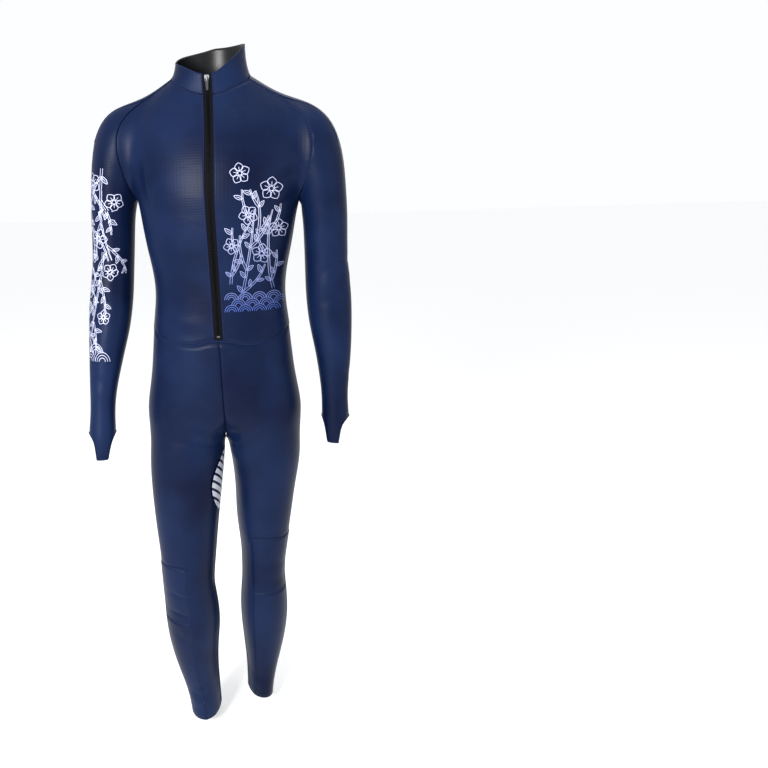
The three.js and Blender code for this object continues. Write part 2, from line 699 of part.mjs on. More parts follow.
// A wall of cloth on a sheet: its outer face on the figure, its inner face inside it.
function wallGeometry(sheet, { thickness = CLOTH, lift = 0, relief = () => 0, facing = 1 } = {}) {
  const quads = facing > 0 ? sheet.quads : sheet.quads.map((quad) => [...quad].reverse());
  const turned = { points: sheet.points, quads };
  const normals = turned.points.map(outwards);
  const outer = drawnIn(turned, normals);
  const count = outer.length;
  const points = [
    ...outer.map((p, i) => p.clone().addScaledVector(normals[i], lift + relief(p))),
    ...outer.map((p, i) => p.clone().addScaledVector(normals[i], lift - thickness)),
  ].map(posed);
  const triangles = [];
  const face = (a, b, c) => {
    if (a !== b && b !== c && a !== c) triangles.push(a, b, c);
  };
  for (const quad of quads) {
    const [a, b, c, d] = shorterWay(sheet.points, quad);
    face(a, b, c);
    face(a, c, d);
    face(count + a, count + c, count + b);
    face(count + a, count + d, count + c);
  }
  for (const [from, to] of edgesOf(quads)) {
    const forward = rank(sheet.points[from]) < rank(sheet.points[to]);
    face(to, from, forward ? count + from : count + to);
    face(forward ? to : from, count + from, count + to);
  }
  const geometry = new THREE.BufferGeometry();
  geometry.setAttribute("position", new THREE.Float32BufferAttribute(points.flatMap((p) => p.toArray()), 3));
  geometry.setIndex(triangles);
  geometry.computeVertexNormals();
  return geometry;
}

const cloth = (name, color, roughness) => new THREE.MeshStandardMaterial({ name, color, roughness, metalness: 0 });
const NAVY = cloth("stretch_cloth", COLOURS.navy, 0.45);
const BLACK = cloth("zip_tape", COLOURS.black, 0.7);

const suit = new THREE.Group();
suit.position.z = -NECK_HEIGHT;

function addPiece(name, geometry, material) {
  const mesh = new THREE.Mesh(geometry, material);
  mesh.name = name;
  suit.add(mesh);
  return mesh;
}

const columnsOf = (grid, from, to) => grid.slice(from, to + 1);
const rowsOf = (grid, from, to) => grid.map((column) => column.slice(from, to + 1));

// One tape of the zip, from its bottom stop up to the collar's top edge.
function zipTape(side, front, collar) {
  const edge = [...front[0], ...collar[0].slice(1)];
  const middle = edge.map((point) => zipPoint(point.z));
  return sheetOf([middle, edge]);
}

// The slick patch on the inside of the wearer's right thigh, where the other thigh brushes past.
function thighPatch(side) {
  const { top, bottom, middle, halfAngle } = THIGH_PATCH;
  const columns = 12;
  const rows = 12;
  return Array.from({ length: columns + 1 }, (_, c) =>
    Array.from({ length: rows + 1 }, (_, r) => {
      const t = r / rows;
      const width = halfAngle * Math.sin(Math.PI * mix(0.06, 0.94, t)) ** 0.6;
      const z = mix(top, bottom, t);
      return legPoint(side, z, middle + width * mix(-1, 1, c / columns));
    }),
  );
}

function addSide(side) {
  const name = side > 0 ? "left" : "right";
  const front = bodyGrid(side, -1);
  const back = bodyGrid(side, 1);
  const collar = collarGrid(side);
  const sleeve = sleeveGrid(side, sleeveTopLoop(front, back, collar));
  const waist = [...front, ...back.slice(1)].map((column) => column[0]);
  const leg = legGrid(side, waist);
  const inStrip = (c, r) => c >= LEG_KEYS.kneeInner && c < LEG_KEYS.kneeOuter && r >= KNEE_ROW;
  const strip = columnsOf(leg, LEG_KEYS.kneeInner, LEG_KEYS.kneeOuter);
  const pleats = KNEE.pleats.map((step) => KNEE[name].top - step);
  const relief = (point) => (pleats.some((z) => Math.abs(point.z - z) < 1) ? -KNEE.pleatDepth : 0);
  const down = { facing: -side };

  addPiece("front_" + name, wallGeometry(sheetOf(front), { facing: side }), NAVY);
  const tube = sheetOf(sleeve, { wrap: true });
  const tongue = sheetOf(tongueRows(side, sleeve));
  addPiece("sleeve_" + name, wallGeometry(welded([tube, tongue]), down), NAVY);
  const frontLeg = sheetOf(columnsOf(leg, 0, LEG_KEYS.backSeam), { skip: inStrip });
  addPiece("leg_front_" + name, wallGeometry(welded([frontLeg]), down), NAVY);
  addPiece("leg_back_" + name, wallGeometry(sheetOf(columnsOf(leg, LEG_KEYS.backSeam, LAST_COLUMN)), down), NAVY);
  addPiece("knee_" + name, wallGeometry(sheetOf(rowsOf(strip, KNEE_ROW, SHIN_ROW)), { ...down, relief }), NAVY);
  addPiece("shin_" + name, wallGeometry(sheetOf(rowsOf(strip, SHIN_ROW, leg[0].length - 1)), down), NAVY);
  addPiece("zip_tape_" + name, wallGeometry(zipTape(side, front, collar), { facing: side }), BLACK);
  return { back, collar };
}

const left = addSide(1);
const right = addSide(-1);

// The back and the collar run across the centre back without a seam.
function acrossBack(leftGrid, rightGrid) {
  return [...leftGrid, ...[...rightGrid].reverse().slice(1)];
}
addPiece("back", wallGeometry(sheetOf(acrossBack(left.back, right.back))), NAVY);
addPiece("collar", wallGeometry(sheetOf(acrossBack(left.collar, right.collar))), NAVY);
const { lift, thickness } = THIGH_PATCH;
const patch = wallGeometry(sheetOf(thighPatch(-1)), { facing: 1, lift: lift + thickness, thickness });
addPiece("thigh_patch", patch, cloth("slick_patch", COLOURS.grip, 0.35));

// A point on the zip's centre line.
function zipPoint(z) {
  return firstExit(new THREE.Vector3(0, 0, z), new THREE.Vector3(0, -1, 0));
}

// Carries a piece built in front of the zip (x across, y into the suit, z up) to its place there.
function onZip(z, lift) {
  const centre = posed(zipPoint(z));
  const up = posed(zipPoint(z + 5)).sub(posed(zipPoint(z - 5))).normalize();
  const sideways = posed(zipPoint(z).add(new THREE.Vector3(1, 0, 0))).sub(centre);
  const inwards = up.clone().cross(sideways).normalize();
  const across = inwards.clone().cross(up);
  return new THREE.Matrix4().makeBasis(across, inwards, up).setPosition(centre.addScaledVector(inwards, -lift));
}

// A tapered outline with rounded corners, across and up, from bottom to top.
function taperedOutline(Kind, { bottom, top, bottomHalf, topHalf, round }) {
  const outline = new Kind();
  outline.moveTo(round - bottomHalf, bottom);
  outline.lineTo(bottomHalf - round, bottom);
  outline.quadraticCurveTo(bottomHalf, bottom, bottomHalf, bottom + round);
  outline.lineTo(topHalf, top - round);
  outline.quadraticCurveTo(topHalf, top, topHalf - round, top);
  outline.lineTo(round - topHalf, top);
  outline.quadraticCurveTo(-topHalf, top, -topHalf, top - round);
  outline.lineTo(-bottomHalf, bottom + round);
  outline.quadraticCurveTo(-bottomHalf, bottom, round - bottomHalf, bottom);
  return outline;
}

// A flat plate that stands on the zip: its outline lies across and up, its thickness outwards.
function plate(outline, thickness, lift = 0) {
  const geometry = new THREE.ExtrudeGeometry(outline, { depth: thickness, bevelEnabled: false, curveSegments: 5 });
  return geometry.translate(0, 0, lift).rotateX(Math.PI / 2);
}

// The arch on the slider, from its outline seen from the side, outwards and up.
function archGeometry() {
  const { width, height, band, bevel } = ARCH;
  const half = ARCH.length / 2;
  const foot = SLIDER.thickness - 1;
  const crown = SLIDER.thickness + height;
  const corners = [
    [foot, -half], [crown - bevel, -half], [crown, bevel - half], [crown, half - bevel], [crown - bevel, half],
    [foot, half], [foot, half - band], [crown - bevel - band / 2, half - band], [crown - band, half - bevel - band / 2],
    [crown - band, bevel + band / 2 - half], [crown - bevel - band / 2, band - half], [foot, band - half],
  ];
  const outline = new THREE.Shape(corners.map(([out, up]) => new THREE.Vector2(out, up)));
  const geometry = new THREE.ExtrudeGeometry(outline, { depth: width, bevelEnabled: false });
  const [outwardsAxis, upAxis] = [new THREE.Vector3(0, -1, 0), new THREE.Vector3(0, 0, 1)];
  const acrossAxis = outwardsAxis.clone().cross(upAxis);
  return geometry
    .translate(0, 0, -width / 2)
    .applyMatrix4(new THREE.Matrix4().makeBasis(outwardsAxis, upAxis, acrossAxis));
}

// Several overlapping closed geometries as one.
function fused(geometries) {
  const solids = geometries.map((geometry) => {
    const bare = new THREE.BufferGeometry().setAttribute("position", geometry.getAttribute("position"));
    const { attributes, index } = mergeVertices(bare, 1e-4);
    const vertProperties = attributes.position.array;
    return new wasm.Manifold(new wasm.Mesh({ numProp: 3, vertProperties, triVerts: new Uint32Array(index.array) }));
  });
  const { vertProperties, triVerts } = wasm.Manifold.union(solids).getMesh();
  const geometry = new THREE.BufferGeometry();
  geometry.setAttribute("position", new THREE.BufferAttribute(vertProperties, 3));
  geometry.setIndex(new THREE.BufferAttribute(triVerts, 1));
  geometry.computeVertexNormals();
  return geometry;
}

const STEEL = new THREE.MeshStandardMaterial({ name: "steel", color: COLOURS.steel, roughness: 0.35, metalness: 1 });
const PAINTED = new THREE.MeshStandardMaterial({ name: "pull", color: COLOURS.pull, roughness: 0.5, metalness: 0.6 });

function addZipPieces() {
  const { length, thickness } = SLIDER;
  const body = taperedOutline(THREE.Shape, { ...SLIDER, bottom: -length / 2, top: length / 2 });
  const slider = fused([plate(body, thickness), archGeometry()]);
  const place = onZip(SLIDER.z, SLIDER.lift);
  addPiece("slider", slider.applyMatrix4(place), STEEL);

  const pin = PULL.thickness / 2;
  const outline = taperedOutline(THREE.Shape, { ...PULL, bottom: pin - PULL.length, top: pin });
  const { windowHalf, windowEnd } = PULL;
  const round = pin / 2;
  outline.holes.push(
    taperedOutline(THREE.Path, { bottom: -windowEnd, top: -pin, bottomHalf: windowHalf, topHalf: windowHalf, round }),
  );
  const pull = plate(outline, PULL.thickness, thickness + PULL.pinOffset - pin);
  addPiece("pull", pull.applyMatrix4(place), PAINTED);

  const { half, height } = ZIP_STOP;
  const stop = new THREE.Shape([[-half, 0], [half, 0], [half, height], [-half, height]].map((c) => new THREE.Vector2(...c)));
  addPiece("zip_stop", plate(stop, ZIP_STOP.thickness).applyMatrix4(onZip(ZIP_STOP.z, SLIDER.lift)), STEEL);
}
addZipPieces();

export default suit;
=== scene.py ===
"""A speed skating suit, dressed: satin stretch cloth with its seams, zip teeth, creases and prints."""
import json
import math
import random

import bmesh
import bpy
from bpy.props import FloatProperty, FloatVectorProperty, IntProperty, PointerProperty
from mathutils import Matrix, Vector
from mathutils.bvhtree import BVHTree


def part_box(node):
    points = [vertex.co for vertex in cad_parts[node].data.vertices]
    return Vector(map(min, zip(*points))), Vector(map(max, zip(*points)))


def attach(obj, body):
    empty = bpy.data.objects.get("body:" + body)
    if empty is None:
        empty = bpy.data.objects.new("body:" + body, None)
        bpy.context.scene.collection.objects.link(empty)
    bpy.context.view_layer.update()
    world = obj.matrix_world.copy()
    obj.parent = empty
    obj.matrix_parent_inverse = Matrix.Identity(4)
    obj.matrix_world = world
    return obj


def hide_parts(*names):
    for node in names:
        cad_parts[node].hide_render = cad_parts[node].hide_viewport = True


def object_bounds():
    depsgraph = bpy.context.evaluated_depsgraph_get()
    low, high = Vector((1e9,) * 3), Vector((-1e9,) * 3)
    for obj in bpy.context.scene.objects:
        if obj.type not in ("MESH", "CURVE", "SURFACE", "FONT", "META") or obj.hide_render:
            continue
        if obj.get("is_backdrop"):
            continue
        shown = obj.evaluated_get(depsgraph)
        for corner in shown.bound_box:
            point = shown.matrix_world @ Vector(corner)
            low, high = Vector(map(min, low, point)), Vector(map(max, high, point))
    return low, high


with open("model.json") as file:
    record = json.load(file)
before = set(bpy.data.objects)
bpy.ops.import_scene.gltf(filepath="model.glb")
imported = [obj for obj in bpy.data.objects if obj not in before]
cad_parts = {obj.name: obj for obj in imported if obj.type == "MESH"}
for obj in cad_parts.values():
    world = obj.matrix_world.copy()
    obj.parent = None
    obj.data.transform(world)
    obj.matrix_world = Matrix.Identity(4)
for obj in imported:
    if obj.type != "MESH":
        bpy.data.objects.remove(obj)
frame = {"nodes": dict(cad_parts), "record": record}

bl_info = {
    "name": "Speed skating suit",
    "version": (1, 0, 0),
    "blender": (4, 5, 0),
    "location": "View3D > Sidebar > Suit",
    "description": "Builds the cloth, seams, zip, prints and studio of a speed skating suit",
    "category": "Object",
}

CAD_BOX = [list(corner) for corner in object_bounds()]
BODY = "suit"
OPENINGS = frame["record"]["physics"]["openings"]
MM = 0.001

# The knit: the distance between its ribs in metres, its roughness and its sheen.
KNIT_RIB = 0.0011
KNIT_ROUGHNESS = 0.4
KNIT_SHEEN = 0.008

# Angles, in degrees, tried in turn as the sharpest bend within the cloth; the wall's rim is sharper.
RIM_ANGLES = (68, 58, 48, 40, 33)

# The inner thigh patch: its number of bars, the gap's share of their pitch, and their fall to the back.
PATCH_BARS = 7
PATCH_GAP = 0.36
PATCH_BAR_FALL = 0.8

# A zip tooth: its distance from the line where the tapes meet, its height off the tape, its thickness,
# its share of the pitch and its rounded edge; and how far up and down that line is searched for.
TOOTH_ASIDE = 0.0015
TOOTH_LIFT = 0.0005
TOOTH_THICKNESS = 0.0011
TOOTH_SHARE = 0.42
TOOTH_ROUNDING = 0.0002
ZIP_REACH = 0.02

# Printing: rays start this far off, and leave out cloth that they graze or pieces that tear.
RAY_START = 0.4
GRAZING = -0.12
PRINT_TEAR = 0.02

# Half the distance between a printed stem's two lines, in widths of a line.
STEM_GAP = 1.8

# The sleeve's print wraps round a circle: its radius, and the direction of its middle in degrees.
SLEEVE_RADIUS = 0.048
SLEEVE_MIDDLE = 215
SLEEVE_STEP = 0.02
SLEEVE_RAY_START = 0.12

# The stitched band: its distance in from the edge, its clearance, and its rounded cross-section as
# shares of its width and height.
BAND_INSET = 0.0004
BAND_CLEARANCE = 0.0001
BAND_PROFILE = [(0.0, 0.05), (0.25, 0.85), (0.5, 1.0), (0.75, 0.85), (1.0, 0.05)]
STITCH_LENGTH = 0.0022

# The creases: how much deeper than in the table below they are pressed, how far they bow and run on
# past their ends as shares of their length, and their softness and reach as shares of their width.
CREASE_GAIN = 1.35
CREASE_BOW = 0.08
CREASE_OVERRUN = 0.3
CREASE_SOFTNESS = 0.55
CREASE_REACH = 1.6
EDGE_CREASE = 0.6

# The camera's place in metres, and its tilt down and roll in degrees.
CAMERA_PLACE = (-0.011, -1.45, -0.22)
CAMERA_TILT = 14.4
CAMERA_ROLL = -1.7
CAMERA_SHIFT = 0.217

# The soft boxes: place, size in metres, and share of the light's strength.
SOFT_BOXES = {
    "key": ((-1.2, -2.2, 0.3), 0.8, 3.2),
    "fill": ((2.2, -1.8, 0.2), 2.0, 0.35),
    "top": ((0.2, -0.2, 1.9), 1.2, 0.5),
    "behind": ((0.6, 2.4, 0.8), 1.8, 0.25),
}

# The parts of the hollow that each kind of panel goes round, as physics.openings names them.
LEG_HOLLOWS = ("hips", "seat", "SIDE_thigh_top", "SIDE_thigh", "SIDE_knee", "SIDE_calf", "SIDE_hem")
HOLLOWS = {
    "sleeve": ("SIDE_upper_sleeve", "SIDE_sleeve", "SIDE_elbow", "SIDE_forearm", "SIDE_cuff"),
    "leg": LEG_HOLLOWS,
    "knee": LEG_HOLLOWS,
    "shin": LEG_HOLLOWS,
    "torso": ("neck", "shoulders", "chest", "upper_waist", "waist", "hips", "seat"),
}

# The suit's pieces of cloth, and how each was cut: its flat width and length in metres.
CLOTH_PIECES = {
    "front_left": (0.26, 0.50),
    "front_right": (0.26, 0.50),
    "back": (0.45, 0.66),
    "collar": (0.44, 0.11),
    "sleeve_left": (0.42, 0.76),
    "sleeve_right": (0.42, 0.76),
    "leg_front_left": (0.42, 0.94),
    "leg_front_right": (0.42, 0.94),
    "leg_back_left": (0.24, 0.91),
    "leg_back_right": (0.24, 0.91),
    "knee_left": (0.12, 0.15),
    "knee_right": (0.09, 0.15),
    "shin_left": (0.10, 0.33),
    "shin_right": (0.08, 0.30),
}

# Creases, in mm from the origin: two ends, then width, depth (+ is a ridge, - a trough), and the
# side of the suit that they lie on (-1 front, +1 back, 0 either).
CREASES = [
    # where the right upper arm meets the chest
    (-150, -150, -128, -235, 13, -2.6, -1),
    (-132, -140, -118, -215, 11, 1.8, -1),
    # the left armpit
    (152, -170, 96, -205, 13, -2.4, -1),
    (158, -205, 112, -238, 12, -1.8, -1),
    (146, -150, 100, -178, 12, 1.6, -1),
    # across the waist and belly
    (-118, -452, -40, -470, 12, -1.5, -1),
    (-112, -430, -52, -446, 11, 1.0, -1),
    (104, -455, 46, -482, 13, -1.6, -1),
    (116, -430, 62, -452, 12, 1.1, -1),
    (-120, -498, -64, -512, 13, -1.3, -1),
    (122, -505, 70, -530, 13, -1.4, -1),
    # from the crotch out over the thighs
    (-8, -690, -78, -655, 14, -2.2, -1),
    (-12, -712, -96, -690, 13, -1.8, -1),
    (-10, -735, -84, -738, 12, 1.4, -1),
    (12, -690, 74, -652, 14, -2.2, -1),
    (16, -716, 92, -694, 13, -1.7, -1),
    (18, -742, 80, -752, 12, 1.2, -1),
    # the right knee's pleats, and the raised line on the shin below it
    (-118, -1041, -82, -1047, 7, -1.6, -1),
    (-118, -1089, -80, -1093, 7, -1.6, -1),
    (-70, -1126, -57, -1242, 6, 1.1, -1),
    # above the knees
    (-128, -955, -72, -968, 12, -1.4, -1),
    (-60, -975, -112, -1000, 11, 1.0, -1),
    (112, -925, 64, -940, 12, -1.4, -1),
    # shins and ankles
    (-116, -1150, -70, -1172, 13, -1.2, -1),
    (-92, -1315, -48, -1328, 9, -1.6, 0),
    (-90, -1338, -50, -1348, 9, 1.3, 0),
    (-52, -1290, -86, -1302, 9, -1.2, 0),
    (56, -1322, 92, -1336, 9, -1.5, 0),
    (58, -1346, 90, -1354, 8, 1.2, 0),
    # sleeves, at the elbow and above the cuff
    (-252, -345, -196, -366, 13, -2.0, 0),
    (-254, -372, -204, -386, 12, 1.4, 0),
    (-250, -398, -206, -420, 12, -1.7, 0),
    (-266, -560, -232, -572, 9, -1.3, 0),
    (-268, -590, -236, -600, 9, 1.0, 0),
    (252, -338, 198, -360, 13, -2.0, 0),
    (254, -368, 204, -384, 12, 1.3, 0),
    (250, -396, 208, -414, 12, -1.6, 0),
    (262, -566, 226, -580, 9, -1.3, 0),
    # the back: over the waist and under the seat
    (-104, -392, -30, -408, 15, -1.8, 1),
    (-98, -420, -22, -432, 14, 1.3, 1),
    (100, -396, 26, -414, 15, -1.8, 1),
    (92, -424, 34, -438, 14, 1.2, 1),
    (-60, -452, 44, -460, 15, -1.5, 1),
    (-132, -700, -40, -716, 15, -2.4, 1),
    (-126, -722, -52, -738, 13, 1.5, 1),
    (134, -704, 42, -722, 15, -2.4, 1),
    (122, -728, 56, -744, 13, 1.5, 1),
    (-150, -168, -96, -218, 14, -2.0, 1),
    (150, -172, 98, -222, 14, -2.0, 1),
    (-118, -1052, -66, -1062, 12, -1.8, 1),
    (-112, -1074, -70, -1084, 11, 1.3, 1),
    (108, -1046, 62, -1058, 12, -1.8, 1),
    (104, -1070, 66, -1080, 11, 1.3, 1),
]


class ClothProperties(bpy.types.PropertyGroup):
    """What a user would change on the cloth."""

    colour: FloatVectorProperty(
        name="Cloth colour", description="Base colour of the stretch cloth", subtype="COLOR",
        size=3, min=0, max=1, default=(0.0014, 0.0042, 0.0205),
    )
    # A lit copy of the cloth's colour, which the knit paints in broad random patches as painted light.
    lit_colour: FloatVectorProperty(
        name="Bright cloth colour", description="Colour where the cloth is stretched", subtype="COLOR",
        size=3, min=0, max=1, default=(0.0055, 0.0150, 0.054),
    )
    lining: FloatVectorProperty(
        name="Inner colour", description="Colour of the cloth's inner face", subtype="COLOR",
        size=3, min=0, max=1, default=(0.0035, 0.0037, 0.0046),
    )
    thickness: FloatProperty(
        name="Thickness", description="Thickness of the cloth", subtype="DISTANCE", unit="LENGTH",
        min=0.0008, max=0.003, default=0.0014,
    )
    levels: IntProperty(name="Smoothing", description="Times each quad is divided", min=1, max=3, default=2)


class SeamProperties(bpy.types.PropertyGroup):
    """What a user would change on the seams."""

    width: FloatProperty(
        name="Stitched width", description="Width of the stitched band beside a seam",
        subtype="DISTANCE", unit="LENGTH", min=0.001, max=0.01, default=0.0021,
    )
    height: FloatProperty(
        name="Stitched height", description="How far the stitching stands proud",
        subtype="DISTANCE", unit="LENGTH", min=0.0001, max=0.002, default=0.00035,
    )
    # The thread is set lighter than the cloth: partly the thread's own colour, partly a painted highlight
    # along the seams.
    colour: FloatVectorProperty(
        name="Thread colour", description="Colour of the sewing thread", subtype="COLOR",
        size=3, min=0, max=1, default=(0.0035, 0.0085, 0.034),
    )


class PatchProperties(bpy.types.PropertyGroup):
    """What a user would change on the inner thigh patch."""

    bar_colour: FloatVectorProperty(
        name="Bar colour", description="Colour of the bars on the patch", subtype="COLOR",
        size=3, min=0, max=1, default=(0.42, 0.44, 0.5),
    )


class ZipProperties(bpy.types.PropertyGroup):
    """What a user would change on the zip."""

    pitch: FloatProperty(
        name="Tooth pitch", description="Distance from one tooth to the next on a side",
        subtype="DISTANCE", unit="LENGTH", min=0.001, max=0.005, default=0.0026,
    )
    tooth: FloatProperty(
        name="Tooth length", description="Length of a tooth across the zip",
        subtype="DISTANCE", unit="LENGTH", min=0.001, max=0.005, default=0.0034,
    )


class PrintProperties(bpy.types.PropertyGroup):
    """What a user would change on the prints."""

    light: FloatVectorProperty(
        name="Light ink", description="Colour of the print's light parts", subtype="COLOR",
        size=3, min=0, max=1, default=(0.46, 0.48, 0.64),
    )
    deep: FloatVectorProperty(
        name="Deep ink", description="Colour that the print on the chest fades to", subtype="COLOR",
        size=3, min=0, max=1, default=(0.03, 0.07, 0.3),
    )
    back: FloatVectorProperty(
        name="Back ink", description="Colour of the print on the back", subtype="COLOR",
        size=3, min=0, max=1, default=(0.06, 0.16, 0.42),
    )
    lift: FloatProperty(
        name="Ink height", description="How far the ink stands off the cloth",
        subtype="DISTANCE", unit="LENGTH", min=0.0001, max=0.001, default=0.00025,
    )


class StageProperties(bpy.types.PropertyGroup):
    """The camera and the lights."""

    lens: FloatProperty(name="Lens", description="Focal length in mm", min=20, max=200, default=33.15)
    light: FloatProperty(
        name="Light", description="Strength of the soft boxes", unit="POWER", min=0, default=30,
    )


def new_material(name):
    """A new material, with its nodes, its links and its shader."""
    material = bpy.data.materials.new(name)
    material.use_nodes = True
    nodes = material.node_tree.nodes
    return material, nodes, material.node_tree.links, nodes["Principled BSDF"]


def add_node(nodes, kind, **values):
    """A node, with its named attributes and sockets set."""
    node = nodes.new("ShaderNode" + kind)
    for key, value in values.items():
        if key in node.inputs.keys():
            node.inputs[key].default_value = value
        else:
            setattr(node, key, value)
    return node


def math_node(nodes, links, operation, *values, clamp=False):
    """The result of a sum on sockets or numbers."""
    node = nodes.new("ShaderNodeMath")
    node.operation = operation
    node.use_clamp = clamp
    for index, value in enumerate(values):
        if isinstance(value, (int, float)):
            node.inputs[index].default_value = value
        else:
            links.new(value, node.inputs[index])
    return node.outputs[0]


def blend_colours(nodes, links, share, first, second):
    """A colour between two others; each is a socket or a plain colour."""
    mixer = nodes.new("ShaderNodeMix")
    mixer.data_type = "RGBA"
    for socket, value in ((mixer.inputs[0], share), (mixer.inputs[6], first), (mixer.inputs[7], second)):
        if isinstance(value, bpy.types.NodeSocket):
            links.new(value, socket)
        elif isinstance(value, (int, float)):
            socket.default_value = value
        else:
            socket.default_value = (*value[:3], 1)
    return mixer.outputs[2]


def knit_material(name, colour, light):
    """Satin stretch knit: fine ribs down the cloth, a tint painted lighter in broad random patches where it
    blends towards a lit copy of its colour (painted light), and soft small wrinkles.
    """
    material, nodes, links, shader = new_material(name)
    place = nodes.new("ShaderNodeTexCoord").outputs["Object"]
    lit_patches = add_node(nodes, "TexNoise", Scale=6, Detail=3, Roughness=0.5)
    links.new(place, lit_patches.inputs["Vector"])
    fine = add_node(nodes, "TexNoise", Scale=900, Detail=2)
    links.new(place, fine.inputs["Vector"])
    ribs = add_node(nodes, "TexWave", bands_direction="X", Scale=1 / (KNIT_RIB * 20), Distortion=0.6)
    ribs.inputs["Detail"].default_value = 1
    links.new(place, ribs.inputs["Vector"])
    loops = add_node(nodes, "TexWave", bands_direction="Z", Scale=1 / (KNIT_RIB * 14), Distortion=0.4)
    links.new(place, loops.inputs["Vector"])
    # Painted light: broad random patches where the cloth's colour blends towards its lit copy.
    lit = math_node(nodes, links, "MULTIPLY_ADD", lit_patches.outputs[0], 2.6, -0.85, clamp=True)
    tint = blend_colours(nodes, links, lit, colour, light)
    grain = math_node(nodes, links, "MULTIPLY", fine.outputs[0], 0.35)
    tint = blend_colours(nodes, links, grain, tint, [c * 0.55 for c in colour])
    links.new(tint, shader.inputs["Base Color"])
    rough = math_node(nodes, links, "MULTIPLY_ADD", lit_patches.outputs[0], 0.16, KNIT_ROUGHNESS - 0.08)
    links.new(rough, shader.inputs["Roughness"])
    creases = add_node(nodes, "TexNoise", Scale=13, Detail=2, Distortion=0.5)
    stretch = add_node(nodes, "Mapping", Scale=(1, 1, 2.4))
    links.new(place, stretch.inputs["Vector"])
    links.new(stretch.outputs[0], creases.inputs["Vector"])
    weave = math_node(nodes, links, "ADD", ribs.outputs["Fac"], loops.outputs["Fac"])
    small = add_node(nodes, "Bump", Strength=0.18, Distance=0.0002)
    links.new(weave, small.inputs["Height"])
    large = add_node(nodes, "Bump", Strength=0.22, Distance=0.003)
    links.new(creases.outputs[0], large.inputs["Height"])
    links.new(small.outputs[0], large.inputs["Normal"])
    links.new(large.outputs[0], shader.inputs["Normal"])
    shader.inputs["Sheen Weight"].default_value = KNIT_SHEEN
    shader.inputs["Sheen Roughness"].default_value = 0.4
    shader.inputs["Sheen Tint"].default_value = (0.45, 0.6, 0.9, 1)
    shader.inputs["IOR"].default_value = 1.17
    return material


def inner_material(name, colour):
    """The cloth's brushed inner face."""
    material, nodes, links, shader = new_material(name)
    place = nodes.new("ShaderNodeTexCoord").outputs["Object"]
    pile = add_node(nodes, "TexNoise", Scale=700, Detail=3)
    links.new(place, pile.inputs["Vector"])
    tint = blend_colours(nodes, links, pile.outputs[0], colour, [c * 1.6 for c in colour])
    links.new(tint, shader.inputs["Base Color"])
    bump = add_node(nodes, "Bump", Strength=0.3, Distance=0.0004)
    links.new(pile.outputs[0], bump.inputs["Height"])
    links.new(bump.outputs[0], shader.inputs["Normal"])
    shader.inputs["Roughness"].default_value = 0.32
    shader.inputs["IOR"].default_value = 1.3
    return material


def thread_material(name, colour):
    """Rows of close stitches, their raised tops painted lighter and the gaps between them painted darker as
    painted light and shade; U runs along the seam in metres, V across it from 0 to 1.
    """
    material, nodes, links, shader = new_material(name)
    place = nodes.new("ShaderNodeUVMap")
    place.uv_map = "seam"
    split = nodes.new("ShaderNodeSeparateXYZ")
    links.new(place.outputs[0], split.inputs[0])
    along = math_node(nodes, links, "MULTIPLY", split.outputs[0], 2 * math.pi / STITCH_LENGTH)
    across = math_node(nodes, links, "MULTIPLY", split.outputs[1], 2 * math.pi * 1.5)
    lean = math_node(nodes, links, "ADD", along, across)
    stitch = math_node(nodes, links, "SINE", lean)
    share = math_node(nodes, links, "MULTIPLY_ADD", stitch, 0.5, 0.5)
    # Painted light and shade: a lit copy of the thread's colour on each stitch's top, a shaded copy in the
    # gap between stitches.
    tint = blend_colours(nodes, links, share, [c * 0.45 for c in colour], [c * 2.0 for c in colour])
    links.new(tint, shader.inputs["Base Color"])
    bump = add_node(nodes, "Bump", Strength=0.7, Distance=0.0004)
    links.new(share, bump.inputs["Height"])
    links.new(bump.outputs[0], shader.inputs["Normal"])
    shader.inputs["Roughness"].default_value = 0.6
    shader.inputs["Specular IOR Level"].default_value = 0.1
    return material


def tape_material(name, colour):
    """Woven zip tape."""
    material, nodes, links, shader = new_material(name)
    place = nodes.new("ShaderNodeTexCoord").outputs["Object"]
    bands = add_node(nodes, "TexWave", wave_type="BANDS", bands_direction="Z", Scale=60, Distortion=0.3)
    links.new(place, bands.inputs["Vector"])
    tint = blend_colours(nodes, links, bands.outputs["Fac"], colour, [c * 1.7 for c in colour])
    links.new(tint, shader.inputs["Base Color"])
    bump = add_node(nodes, "Bump", Strength=0.4, Distance=0.0003)
    links.new(bands.outputs["Fac"], bump.inputs["Height"])
    links.new(bump.outputs[0], shader.inputs["Normal"])
    shader.inputs["Roughness"].default_value = 0.75
    shader.inputs["IOR"].default_value = 1.15
    return material


def metal_material(name, colour, roughness):
    """Cast metal, a little worn."""
    material, nodes, links, shader = new_material(name)
    place = nodes.new("ShaderNodeTexCoord").outputs["Object"]
    wear = add_node(nodes, "TexNoise", Scale=420, Detail=4)
    links.new(place, wear.inputs["Vector"])
    tint = blend_colours(nodes, links, wear.outputs[0], [c * 0.7 for c in colour], colour)
    links.new(tint, shader.inputs["Base Color"])
    rough = math_node(nodes, links, "MULTIPLY_ADD", wear.outputs[0], 0.2, roughness)
    links.new(rough, shader.inputs["Roughness"])
    shader.inputs["Metallic"].default_value = 1
    return material


